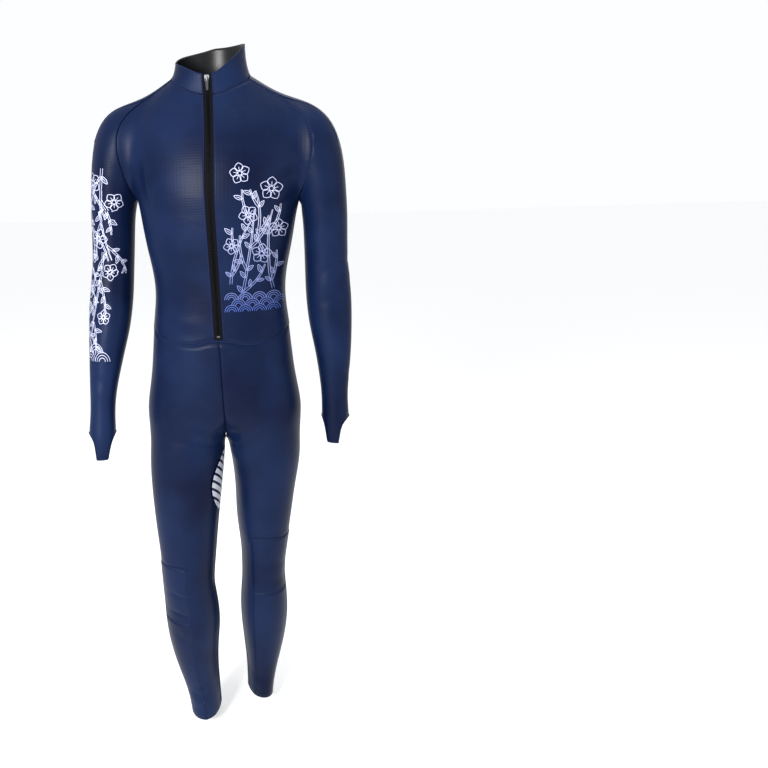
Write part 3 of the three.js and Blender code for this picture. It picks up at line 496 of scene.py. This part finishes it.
def barred_material(name, bar, ground):
    """Pale bars across the inner thigh patch, which fall towards the back."""
    material, nodes, links, shader = new_material(name)
    low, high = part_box("thigh_patch")
    place = nodes.new("ShaderNodeTexCoord").outputs["Object"]
    split = nodes.new("ShaderNodeSeparateXYZ")
    links.new(place, split.inputs[0])
    period = (high.z - low.z) / PATCH_BARS
    back = math_node(nodes, links, "SUBTRACT", split.outputs[1], low.y)
    fall = math_node(nodes, links, "MULTIPLY", back, PATCH_BAR_FALL)
    level = math_node(nodes, links, "ADD", split.outputs[2], fall)
    count = math_node(nodes, links, "DIVIDE", level, period)
    phase = math_node(nodes, links, "FRACT", count)
    on_bar = math_node(nodes, links, "GREATER_THAN", phase, PATCH_GAP)
    tint = blend_colours(nodes, links, on_bar, ground, bar)
    links.new(tint, shader.inputs["Base Color"])
    shader.inputs["Roughness"].default_value = 0.35
    return material


def ink_material(name, light, deep, top, bottom):
    """Printed ink that fades down the cloth from one colour to another, between two heights."""
    material, nodes, links, shader = new_material(name)
    place = nodes.new("ShaderNodeTexCoord").outputs["Object"]
    split = nodes.new("ShaderNodeSeparateXYZ")
    links.new(place, split.inputs[0])
    reach = bottom - top
    fade = math_node(nodes, links, "MULTIPLY_ADD", split.outputs[2], 1 / reach, -top / reach, clamp=True)
    grain = add_node(nodes, "TexNoise", Scale=260, Detail=3)
    links.new(place, grain.inputs["Vector"])
    worn = math_node(nodes, links, "MULTIPLY", grain.outputs[0], 0.35)
    tint = blend_colours(nodes, links, fade, light, deep)
    tint = blend_colours(nodes, links, worn, tint, [c * 0.5 for c in deep])
    links.new(tint, shader.inputs["Base Color"])
    bump = add_node(nodes, "Bump", Strength=0.15, Distance=0.0002)
    links.new(grain.outputs[0], bump.inputs["Height"])
    links.new(bump.outputs[0], shader.inputs["Normal"])
    shader.inputs["Roughness"].default_value = 0.5
    return material


def merged_node(name):
    """A bmesh of a CAD piece, its doubles merged."""
    bm = bmesh.new()
    bm.from_mesh(frame["nodes"][name].data)
    bmesh.ops.remove_doubles(bm, verts=bm.verts, dist=2e-5)
    return bm


def wall_shells(bm, sharp):
    """The wall's faces in groups that edges over an angle part, the largest first."""
    left = set(bm.faces)
    shells = []
    for start in bm.faces:
        if start not in left:
            continue
        left.remove(start)
        shell = [start]
        waiting = [start]
        while waiting:
            face = waiting.pop()
            for edge in face.edges:
                if len(edge.link_faces) != 2:
                    continue
                if edge.calc_face_angle() > sharp:
                    continue
                for other in edge.link_faces:
                    if other in left:
                        left.remove(other)
                        shell.append(other)
                        waiting.append(other)
        shells.append(shell)
    return sorted(shells, key=lambda shell: -shell_area(shell))


def shell_area(shell):
    """The area of a group of faces."""
    return sum(face.calc_area() for face in shell)


def outer_sheet(name):
    """The outer face alone of a cloth wall: its two largest shells are its outer and inner faces."""
    bm = merged_node(name)
    for sharp in RIM_ANGLES:
        shells = wall_shells(bm, math.radians(sharp))
        if len(shells) > 1 and shell_area(shells[1]) > 0.7 * shell_area(shells[0]):
            break
    else:
        raise RuntimeError(name + ": its outer and inner faces can't be told apart")
    keep = set(max(shells[:2], key=lambda shell: facing_out(name, shell)))
    bmesh.ops.delete(bm, geom=[face for face in bm.faces if face not in keep], context="FACES")
    bmesh.ops.join_triangles(
        bm, faces=bm.faces, angle_face_threshold=math.radians(50), angle_shape_threshold=math.radians(60)
    )
    return bm


def hollow_middle(name, z):
    """A point inside the part of the hollow that a piece of cloth goes round, at a height."""
    side = "left" if name.endswith("left") else "right"
    parts = HOLLOWS.get(name.split("_")[0], HOLLOWS["torso"])
    wanted = [part.replace("SIDE", side) for part in parts]
    boxes = [opening["box_m"] for opening in OPENINGS if opening["name"] in wanted]
    low, high = min(boxes, key=lambda box: abs((box[0][2] + box[1][2]) / 2 - z))
    return Vector(((low[0] + high[0]) / 2, (low[1] + high[1]) / 2, z))


def facing_out(name, shell):
    """How much of a shell faces away from its hollow."""
    score = 0.0
    for face in shell:
        centre = face.calc_center_median()
        outwards = (centre - hollow_middle(name, centre.z)).dot(face.normal) > 0
        score += face.calc_area() * (1 if outwards else -1)
    return score


def crease_depth(point, normal):
    """How far the creases move a point of the cloth, in metres."""
    depth = 0.0
    x, z = point.x / MM, point.z / MM
    for x0, z0, x1, z1, width, amount, side in CREASES:
        if side and normal.y * side < 0:
            continue
        if abs(z - (z0 + z1) / 2) > abs(z1 - z0) / 2 + 2 * width:
            continue
        dx, dz = x1 - x0, z1 - z0
        length = math.hypot(dx, dz)
        along = ((x - x0) * dx + (z - z0) * dz) / (length * length)
        bow = CREASE_BOW * length * math.sin(math.pi * min(max(along, 0), 1))
        across = ((x - x0) * dz - (z - z0) * dx) / length - bow
        before, after = along + CREASE_OVERRUN, 1 + CREASE_OVERRUN - along
        if before <= 0 or after <= 0 or abs(across) > CREASE_REACH * width:
            continue
        ends = min(before / 0.5, 1) * min(after / 0.7, 1)
        shape = math.exp(-((across / (CREASE_SOFTNESS * width)) ** 2))
        depth += CREASE_GAIN * amount * MM * ends * shape
    return depth


def smooth_sheet(name, levels):
    """The outer sheet, divided into a smooth surface and creased, as a new bmesh."""
    bm = outer_sheet(name)
    mesh = bpy.data.meshes.new("draft_" + name)
    bm.to_mesh(mesh)
    bm.free()
    draft = bpy.data.objects.new("draft_" + name, mesh)
    bpy.context.scene.collection.objects.link(draft)
    divide = draft.modifiers.new("smooth", "SUBSURF")
    divide.levels = divide.render_levels = levels
    divide.boundary_smooth = "PRESERVE_CORNERS"
    bpy.context.view_layer.update()
    evaluated = draft.evaluated_get(bpy.context.evaluated_depsgraph_get())
    smooth = bmesh.new()
    smooth.from_mesh(evaluated.to_mesh())
    evaluated.to_mesh_clear()
    bpy.data.objects.remove(draft)
    smooth.normal_update()
    border = {vert for edge in smooth.edges if edge.is_boundary for vert in edge.verts}
    moves = [(vert, vert.normal * crease_depth(vert.co, vert.normal)) for vert in smooth.verts]
    for vert, move in moves:
        vert.co += move * (EDGE_CREASE if vert in border else 1)
    smooth.normal_update()
    return smooth


def border_loops(bm):
    """Each open edge of a sheet as a chain of vertices; a closed one ends where it starts."""
    edges = {edge for edge in bm.edges if edge.is_boundary}
    loops = []
    for edge in bm.edges:
        if edge not in edges:
            continue
        edges.remove(edge)
        first, last = edge.verts
        chain = [first, last]
        while True:
            onward = [e for e in chain[-1].link_edges if e in edges]
            if not onward:
                break
            edges.remove(onward[0])
            chain.append(onward[0].other_vert(chain[-1]))
            if chain[-1] is first:
                break
        loops.append(chain)
    return loops


def into_cloth(vert):
    """The direction along the cloth from a border vertex away from the border."""
    inside = [e.other_vert(vert).co - vert.co for e in vert.link_edges if not e.is_boundary]
    ahead = sum(inside, Vector())
    along = [e for e in vert.link_edges if e.is_boundary]
    if len(along) == 2:
        line = (along[0].other_vert(vert).co - along[1].other_vert(vert).co).normalized()
        ahead -= line * ahead.dot(line)
    ahead -= vert.normal * ahead.dot(vert.normal)
    if ahead.length < 1e-7:
        faces = sum((face.calc_center_median() - vert.co for face in vert.link_faces), Vector())
        ahead = faces - vert.normal * faces.dot(vert.normal)
    return ahead.normalized()


def finish_piece(bm, name, materials, smooth=True):
    """Makes a bmesh a piece that moves with the suit."""
    mesh = bpy.data.meshes.new(name)
    bm.to_mesh(mesh)
    bm.free()
    for material in materials:
        mesh.materials.append(material)
    if smooth:
        mesh.shade_smooth()
    piece = bpy.data.objects.new(name, mesh)
    bpy.context.scene.collection.objects.link(piece)
    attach(piece, BODY)
    return piece


# The outer face of each panel, for the seams and prints that lie on it.
SHEETS = {}


class SUIT_OT_cloth(bpy.types.Operator):
    """Builds every panel of the suit as a smooth creased wall of stretch cloth"""

    bl_idname = "suit.cloth"
    bl_label = "Cloth panels"

    def execute(self, context):
        made = context.scene.suit_cloth
        outside = knit_material("navy_knit", made.colour, made.lit_colour)
        inside = inner_material("inner_face", made.lining)
        for name, cut in CLOTH_PIECES.items():
            sheet = smooth_sheet(name, made.levels)
            if not sheet.faces:
                raise RuntimeError(name + " has no outer face")
            SHEETS[name] = sheet.copy()
            piece = finish_piece(sheet, "cloth_" + name, [outside, inside])
            wall = piece.modifiers.new("wall", "SOLIDIFY")
            wall.thickness = made.thickness
            wall.offset = -1
            wall.material_offset = 1
            wall.use_even_offset = False
            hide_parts(name)
        return {"FINISHED"}


def chain_strip(bm, layer, chain, width, height):
    """Lays a low ridge along a border: a rounded band on the cloth beside it."""
    closed = chain[0] is chain[-1]
    verts = chain[:-1] if closed else chain
    rows = []
    travelled = 0.0
    last = None
    for vert in verts:
        if last is not None:
            travelled += (vert.co - last).length
        last = vert.co
        ahead = into_cloth(vert)
        row = []
        for share, rise in BAND_PROFILE:
            inwards = ahead * (BAND_INSET + width * share)
            outwards = vert.normal * (height * rise + BAND_CLEARANCE)
            row.append(bm.verts.new(vert.co + inwards + outwards))
        rows.append((row, travelled))
    if closed:
        rows.append((rows[0][0], travelled + (verts[0].co - last).length))
    for (row, start), (after, end) in zip(rows, rows[1:]):
        for index in range(len(BAND_PROFILE) - 1):
            corners = [row[index], row[index + 1], after[index + 1], after[index]]
            if len(set(corners)) < 4:
                continue
            face = bm.faces.new(corners)
            near, far = BAND_PROFILE[index][0], BAND_PROFILE[index + 1][0]
            places = [(start, near), (start, far), (end, far), (end, near)]
            for loop, place in zip(face.loops, places):
                loop[layer].uv = place


class SUIT_OT_seams(bpy.types.Operator):
    """Sews a stitched band along each edge of each panel"""

    bl_idname = "suit.seams"
    bl_label = "Seams and hems"

    def execute(self, context):
        made = context.scene.suit_seams
        thread = thread_material("seam_thread", made.colour)
        for name, sheet in SHEETS.items():
            bm = bmesh.new()
            layer = bm.loops.layers.uv.new("seam")
            for chain in border_loops(sheet):
                chain_strip(bm, layer, chain, made.width, made.height)
            flip_outwards(bm, sheet)
            finish_piece(bm, "seam_" + name, [thread])
        return {"FINISHED"}


def flip_outwards(bm, sheet):
    """Turns each face of a thin piece that lies on a sheet the same way as the sheet faces."""
    tree = BVHTree.FromBMesh(sheet)
    bm.normal_update()
    wrong = []
    for face in bm.faces:
        hit = tree.find_nearest(face.calc_center_median())
        if hit[1] is not None and hit[1].dot(face.normal) < 0:
            wrong.append(face)
    bmesh.ops.reverse_faces(bm, faces=wrong)


def dress_node(name, material):
    """Gives a CAD piece that stays in view its material."""
    mesh = frame["nodes"][name].data
    mesh.materials.clear()
    mesh.materials.append(material)


class SUIT_OT_patch(bpy.types.Operator):
    """Gives the slick patch on the inside of the right thigh its pale bars"""

    bl_idname = "suit.patch"
    bl_label = "Inner thigh patch"

    def execute(self, context):
        scene = context.scene
        slick = barred_material("slick_cloth", scene.suit_patch.bar_colour, scene.suit_cloth.colour)
        dress_node("thigh_patch", slick)
        return {"FINISHED"}


class SUIT_OT_zip(bpy.types.Operator):
    """Gives the zip's tapes, slider, pull and stop their finish, and sets in the teeth"""

    bl_idname = "suit.zip"
    bl_label = "Zip"

    def execute(self, context):
        made = context.scene.suit_zip
        tape = tape_material("woven_tape", (0.0016, 0.0017, 0.0024))
        steel = metal_material("bright_metal", (0.11, 0.114, 0.12), 0.3)
        painted = metal_material("grey_metal", (0.022, 0.023, 0.026), 0.3)
        teeth_metal = metal_material("tooth_metal", (0.006, 0.0062, 0.0075), 0.4)
        for name, material in (
            ("zip_tape_left", tape), ("zip_tape_right", tape), ("slider", steel), ("zip_stop", steel),
            ("pull", painted),
        ):
            dress_node(name, material)
        bm = bmesh.new()
        trees = {side: zip_tree(side) for side in ("left", "right")}
        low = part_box("zip_stop")[1].z + 0.001
        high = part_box("slider")[0].z
        count = int((high - low) / made.pitch)
        for index in range(2 * count):
            side = "left" if index % 2 else "right"
            z = low + (high - low) * index / (2 * count)
            add_tooth(bm, trees[side], side, z, made)
        finish_piece(bm, "zip_teeth", [teeth_metal], smooth=False)
        return {"FINISHED"}


def zip_tree(side):
    """A zip tape, for rays to meet."""
    bm = merged_node("zip_tape_" + side)
    tree = BVHTree.FromBMesh(bm)
    bm.free()
    return tree


def middle_of_zip(z):
    """The x at which the two tapes meet, at a height."""
    meeting = []
    for side, nearest in (("left", min), ("right", max)):
        points = [vert.co for vert in frame["nodes"]["zip_tape_" + side].data.vertices]
        meeting.append(nearest(point.x for point in points if abs(point.z - z) < ZIP_REACH))
    return sum(meeting) / 2


def add_tooth(bm, tree, side, z, made):
    """One tooth: a small rounded block across the line where the tapes meet."""
    aside = TOOTH_ASIDE if side == "left" else -TOOTH_ASIDE
    start = Vector((middle_of_zip(z) + aside, CAD_BOX[0][1] - 0.1, z))
    hit = tree.ray_cast(start, Vector((0, 1, 0)))
    if hit[0] is None:
        return
    point, normal = hit[0], hit[1]
    across = Vector((0, 0, 1)).cross(normal).normalized()
    up = normal.cross(across).normalized()
    place = Matrix((across, up, normal)).transposed().to_4x4()
    place.translation = point + normal * TOOTH_LIFT
    size = Matrix.Diagonal((made.tooth, made.pitch * TOOTH_SHARE, TOOTH_THICKNESS, 1))
    block = bmesh.ops.create_cube(bm, size=1, matrix=place @ size)
    edges = list(dict.fromkeys(edge for vert in block["verts"] for edge in vert.link_edges))
    bmesh.ops.bevel(
        bm, geom=edges, offset=TOOTH_ROUNDING, segments=1, affect="EDGES", profile=0.5, material=-1
    )


def petal_outline(length, width, count=7):
    """A petal's or leaf's closed outline from its root, along and across its middle line."""
    right = []
    for index in range(count):
        share = index / (count - 1)
        right.append((length * share, width / 2 * math.sin(math.pi * share ** 0.8) ** 0.8))
    return right + [(x, -y) for x, y in reversed(right[:-1])]


class PrintPlan:
    """The lines of a print, each a run of short four-cornered pieces in mm, before it is laid."""

    def __init__(self, seed, line):
        self.shapes = []
        self.taken = []
        self.line = line
        self.random = random.Random(seed)

    def room(self, x, y, reach):
        """Whether a motif fits without touching the earlier ones; if so, its place is taken."""
        if any(math.hypot(x - a, y - b) < reach + other for a, b, other in self.taken):
            return False
        self.taken.append((x, y, reach))
        return True

    def ribbon(self, points, width, taper=1.0):
        """A band along a polyline, thinner at its ends, in short pieces that follow the cloth."""
        points = spaced(points, 2.6)
        last = len(points) - 1
        sides = []
        for index, (x, y) in enumerate(points):
            x0, y0 = points[max(index - 1, 0)]
            x1, y1 = points[min(index + 1, last)]
            length = math.hypot(x1 - x0, y1 - y0) or 1
            half = width / 2 * (taper + (1 - taper) * math.sin(math.pi * index / last))
            nx, ny = -(y1 - y0) / length * half, (x1 - x0) / length * half
            sides.append(((x + nx, y + ny), (x - nx, y - ny)))
        for (a, b), (c, d) in zip(sides, sides[1:]):
            self.shapes.append([a, b, d, c])

    def outline(self, x, y, angle, length, width):
        """The outline of a petal that points one way from its root."""
        turn_x, turn_y = math.cos(angle), math.sin(angle)
        points = []
        for along, aside in petal_outline(length, width):
            points.append((x + along * turn_x - aside * turn_y, y + along * turn_y + aside * turn_x))
        self.ribbon(points, self.line)

    def leaf(self, x, y, angle, length):
        """A leaf's outline and its middle vein."""
        self.outline(x, y, angle, length, 0.42 * length)
        tip = (x + 0.75 * length * math.cos(angle), y + 0.75 * length * math.sin(angle))
        self.ribbon([(x, y), tip], self.line, taper=0.4)

    def blossom(self, x, y, size):
        """Five open petals round a small ring, with a stamen in each petal."""
        if not self.room(x, y, 0.5 * size):
            return
        start = self.random.uniform(0, 2)
        for petal in range(5):
            angle = start + petal * 2 * math.pi / 5
            out_x, out_y = math.cos(angle), math.sin(angle)
            self.outline(x + 0.12 * size * out_x, y + 0.12 * size * out_y, angle, 0.4 * size, 0.42 * size)
            stamen = [(x + far * size * out_x, y + far * size * out_y) for far in (0.14, 0.32)]
            self.ribbon(stamen, 0.8 * self.line)
        self.arcs(x, y, 0.1 * size, 1, self.line, turn=2 * math.pi)

    def arcs(self, x, y, radius, count, width, turn=math.pi):
        """Nested arcs, as in the old wave pattern."""
        steps = 12
        for ring in range(count):
            size = radius * (1 - ring / (count + 0.4))
            angles = [turn * step / steps for step in range(steps + 1)]
            self.ribbon([(x + size * math.cos(a), y + size * math.sin(a)) for a in angles], width)

    def branch(self, x, y, angle, length, bend, depth=1):
        """A curving stem drawn as two lines, with leaves at its sides and a blossom at its end."""
        steps = max(4, int(length / 14))
        points = [(x, y)]
        angles = [angle]
        for step in range(1, steps + 1):
            angle += bend / steps + self.random.uniform(-0.06, 0.06)
            x += length / steps * math.cos(angle)
            y += length / steps * math.sin(angle)
            points.append((x, y))
            angles.append(angle)
            side = 1 if step % 2 else -1
            lean = angle + side * self.random.uniform(0.7, 1.0)
            size = self.random.uniform(13, 18)
            leaf_x, leaf_y = x + 0.5 * size * math.cos(lean), y + 0.5 * size * math.sin(lean)
            if step < steps and self.room(leaf_x, leaf_y, 0.42 * size):
                self.leaf(x, y, lean, size)
            if depth and step % 3 == 1 and step < steps - 1:
                self.branch(x, y, angle - side * 0.75, length * 0.4, side * 0.6, depth - 1)
        for side in (-1, 1):
            edge = []
            for index, ((a, b), turn) in enumerate(zip(points, angles)):
                gap = side * STEM_GAP * self.line * math.sqrt(1 - index / (steps + 1))
                edge.append((a - gap * math.sin(turn), b + gap * math.cos(turn)))
            self.ribbon(edge, self.line, taper=0.7)
        self.blossom(x, y, self.random.uniform(20, 28))


def spaced(points, step):
    """The same polyline with a point at least every step."""
    dense = [points[0]]
    for (x0, y0), (x1, y1) in zip(points, points[1:]):
        count = max(1, math.ceil(math.hypot(x1 - x0, y1 - y0) / step))
        for part in range(1, count + 1):
            dense.append((x0 + (x1 - x0) * part / count, y0 + (y1 - y0) * part / count))
    return dense


def plan_of(seed, line, blossoms, branches, waves):
    """A print from its three tables: blossoms first, then branches that keep clear, then waves."""
    plan = PrintPlan(seed, line)
    for x, z, size in blossoms:
        plan.blossom(x, z, size)
    for x, z, angle, length, bend in branches:
        plan.branch(x, z, angle, length, bend)
    for x, z, columns, rows, radius in waves:
        for row in range(rows):
            for column in range(columns):
                shift = radius * (row % 2)
                plan.arcs(x + 2 * radius * column + shift, z - 0.9 * radius * row, radius, 3, line)
    return plan


def chest_plan():
    """The wearer's left chest: branches that climb outwards over rows of waves; x is from the zip."""
    return plan_of(
        4, 1.2,
        [(56, -170, 36), (112, -198, 40), (70, -244, 34), (124, -270, 34), (92, -316, 36), (38, -300, 30)],
        [(52, -402, 1.2, 170, 0.5), (112, -384, 1.9, 150, -0.5), (34, -372, 1.6, 120, -0.5),
         (84, -290, 1.3, 90, 0.6)],
        [(34, -402, 4, 3, 13)],
    )


def sleeve_plan():
    """The wearer's right sleeve: stems that wind down it; x is mm round the sleeve."""
    return plan_of(
        11, 1.2,
        [(-14, -112, 32), (-44, -150, 36), (8, -176, 40), (50, -214, 34), (-30, -238, 36),
         (20, -284, 38), (-48, -318, 32), (46, -350, 34), (-8, -384, 36), (36, -440, 30),
         (-34, -456, 32)],
        [(-20, -120, -1.3, 200, -0.5), (34, -150, -1.7, 180, 0.5), (-52, -270, -1.4, 160, 0.5),
         (30, -310, -1.6, 170, -0.4), (-20, -410, -1.5, 110, 0.4)],
        [(-56, -512, 3, 2, 19)],
    )


def back_plan():
    """The back: sprays that open upwards over a band of waves."""
    return plan_of(
        23, 1.5,
        [(-96, -112, 42), (84, -124, 44), (-14, -92, 38), (34, -176, 42), (-62, -196, 40), (98, -222, 38),
         (-6, -256, 38)],
        [(-72, -322, 1.35, 230, 0.6), (66, -318, 1.8, 220, -0.6), (4, -330, 1.55, 170, 0.3),
         (-20, -170, 2.2, 90, -0.6), (60, -190, 0.8, 80, 0.6)],
        [(-98, -340, 7, 3, 15)],
    )


def lay_print(plan, tree, project, lift):
    """Lays a plan's shapes on the cloth; project gives a ray's start and direction for a place."""
    bm = bmesh.new()
    for shape in plan.shapes:
        laid = []
        for x, y in shape:
            start, direction = project(x, y)
            hit = tree.ray_cast(start, direction)
            if hit[0] is None or hit[1].dot(direction) > GRAZING:
                break
            laid.append(hit[0] + hit[1] * lift)
        if len(laid) < len(shape) or (laid[0] - laid[2]).length > PRINT_TEAR:
            continue
        face = bm.faces.new([bm.verts.new(point) for point in laid])
        face.normal_update()
        if face.normal.dot(direction) > 0:
            face.normal_flip()
    return bm


def level_rays(degrees, onward):
    """Level rays, turned about the upright axis, towards the back (onward 1) or the front (-1)."""
    turn = math.radians(degrees)
    way = onward * Vector((math.sin(turn), math.cos(turn), 0))
    side = Vector((math.cos(turn), -math.sin(turn), 0))
    return lambda x, y: (side * (x * MM) + Vector((0, 0, y * MM)) - way * RAY_START, way)


def round_sleeve(name):
    """Rays from round a sleeve towards its middle, by mm round it from its outer front."""
    bm = SHEETS[name]
    levels = {}
    for vert in bm.verts:
        levels.setdefault(round(vert.co.z / SLEEVE_STEP), []).append(vert.co)
    middles = {}
    for level, points in levels.items():
        xs = [p.x for p in points if p.x < -0.1]
        ys = [p.y for p in points if p.x < -0.1]
        if xs:
            middles[level] = Vector(((min(xs) + max(xs)) / 2, (min(ys) + max(ys)) / 2, 0))

    def project(x, y):
        middle = middles.get(round(y * MM / SLEEVE_STEP)) or Vector((-0.22, 0, 0))
        angle = math.radians(SLEEVE_MIDDLE) + x * MM / SLEEVE_RADIUS
        way = -Vector((math.cos(angle), math.sin(angle), 0))
        return Vector((middle.x, middle.y, y * MM)) - way * SLEEVE_RAY_START, way

    return project


class SUIT_OT_prints(bpy.types.Operator):
    """Prints flowering branches and waves on the chest, one sleeve and the back"""

    bl_idname = "suit.prints"
    bl_label = "Prints"

    def execute(self, context):
        made = context.scene.suit_prints
        pale = [c * 1.05 for c in made.light]
        faint = [c * 0.4 for c in made.back]
        chest = level_rays(8, 1)
        sleeve = round_sleeve("sleeve_right")
        back = level_rays(-8, -1)
        # name, panel, plan, rays, colour at the top, colour at the bottom, height of each
        prints = (
            ("print_chest", "front_left", chest_plan(), chest, made.light, made.deep, -0.24, -0.42),
            ("print_sleeve", "sleeve_right", sleeve_plan(), sleeve, pale, pale, -0.1, -0.7),
            ("print_back", "back", back_plan(), back, made.back, faint, -0.16, -0.36),
        )
        for name, cloth, plan, project, light, deep, top, bottom in prints:
            tree = BVHTree.FromBMesh(SHEETS[cloth])
            bm = lay_print(plan, tree, project, made.lift)
            if not bm.faces:
                raise RuntimeError(name + " misses the cloth")
            ink = ink_material("ink_" + name, light, deep, top, bottom)
            print(name, len(bm.faces))
            finish_piece(bm, name, [ink], smooth=False)
        return {"FINISHED"}


class SUIT_OT_stage(bpy.types.Operator):
    """Sets up the camera, a pale floor and soft studio lights"""

    bl_idname = "suit.stage"
    bl_label = "Camera and lights"

    def execute(self, context):
        made = context.scene.suit_stage
        scene = context.scene
        data = bpy.data.cameras.new("camera")
        data.lens = made.lens
        data.sensor_width = 36
        data.shift_x = CAMERA_SHIFT
        camera = bpy.data.objects.new("camera", data)
        camera.location = CAMERA_PLACE
        tilt = Matrix.Rotation(math.radians(90 - CAMERA_TILT), 4, "X")
        look = tilt @ Matrix.Rotation(math.radians(CAMERA_ROLL), 4, "Z")
        camera.rotation_mode = "QUATERNION"
        camera.rotation_quaternion = look.to_quaternion()
        scene.collection.objects.link(camera)
        scene.camera = camera
        floor = bpy.data.meshes.new("floor")
        bm = bmesh.new()
        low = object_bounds()[0].z - 0.03
        bmesh.ops.create_grid(bm, x_segments=1, y_segments=1, size=60, matrix=Matrix.Translation((0, 0, low)))
        bm.to_mesh(floor)
        bm.free()
        material, nodes, links, shader = new_material("pale_floor")
        shader.inputs["Base Color"].default_value = (0.97, 0.97, 0.97, 1)
        shader.inputs["Roughness"].default_value = 0.9
        floor.materials.append(material)
        ground = bpy.data.objects.new("floor", floor)
        scene.collection.objects.link(ground)
        ground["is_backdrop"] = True
        world = bpy.data.worlds.new("studio")
        world.use_nodes = True
        background = world.node_tree.nodes["Background"]
        background.inputs[0].default_value = (0.98, 0.99, 1, 1)
        background.inputs[1].default_value = 1.0
        scene.world = world
        scene.view_settings.view_transform = "Standard"
        for name, (place, size, strength) in SOFT_BOXES.items():
            light = bpy.data.lights.new(name, "AREA")
            light.size = size
            light.energy = made.light * strength
            lamp = bpy.data.objects.new(name, light)
            lamp.location = place
            lamp.rotation_mode = "QUATERNION"
            lamp.rotation_quaternion = (Vector((0, 0, -0.7)) - Vector(place)).to_track_quat("-Z", "Y")
            scene.collection.objects.link(lamp)
        return {"FINISHED"}


class SUIT_PT_panel(bpy.types.Panel):
    """Lists the suit's steps"""

    bl_idname = "SUIT_PT_panel"
    bl_label = "Speed skating suit"
    bl_space_type = "VIEW_3D"
    bl_region_type = "UI"
    bl_category = "Suit"

    def draw(self, context):
        for group in GROUPS:
            box = self.layout.box()
            values = getattr(context.scene, group)
            for name in values.bl_rna.properties.keys():
                if name not in ("rna_type", "name"):
                    box.prop(values, name)
        for step in STEPS:
            self.layout.operator(step.bl_idname)


GROUPS = {
    "suit_stage": StageProperties,
    "suit_cloth": ClothProperties,
    "suit_seams": SeamProperties,
    "suit_patch": PatchProperties,
    "suit_zip": ZipProperties,
    "suit_prints": PrintProperties,
}
STEPS = (SUIT_OT_stage, SUIT_OT_cloth, SUIT_OT_seams, SUIT_OT_patch, SUIT_OT_zip, SUIT_OT_prints)


def register():
    for kind in (*GROUPS.values(), *STEPS, SUIT_PT_panel):
        bpy.utils.register_class(kind)
    for name, kind in GROUPS.items():
        setattr(bpy.types.Scene, name, PointerProperty(type=kind))


def unregister():
    for name in GROUPS:
        delattr(bpy.types.Scene, name)
    for kind in reversed((*GROUPS.values(), *STEPS, SUIT_PT_panel)):
        bpy.utils.unregister_class(kind)


def main():
    register()
    for step in STEPS:
        group, action = step.bl_idname.split(".")
        getattr(getattr(bpy.ops, group), action)()


if __name__ == "__main__":
    main()
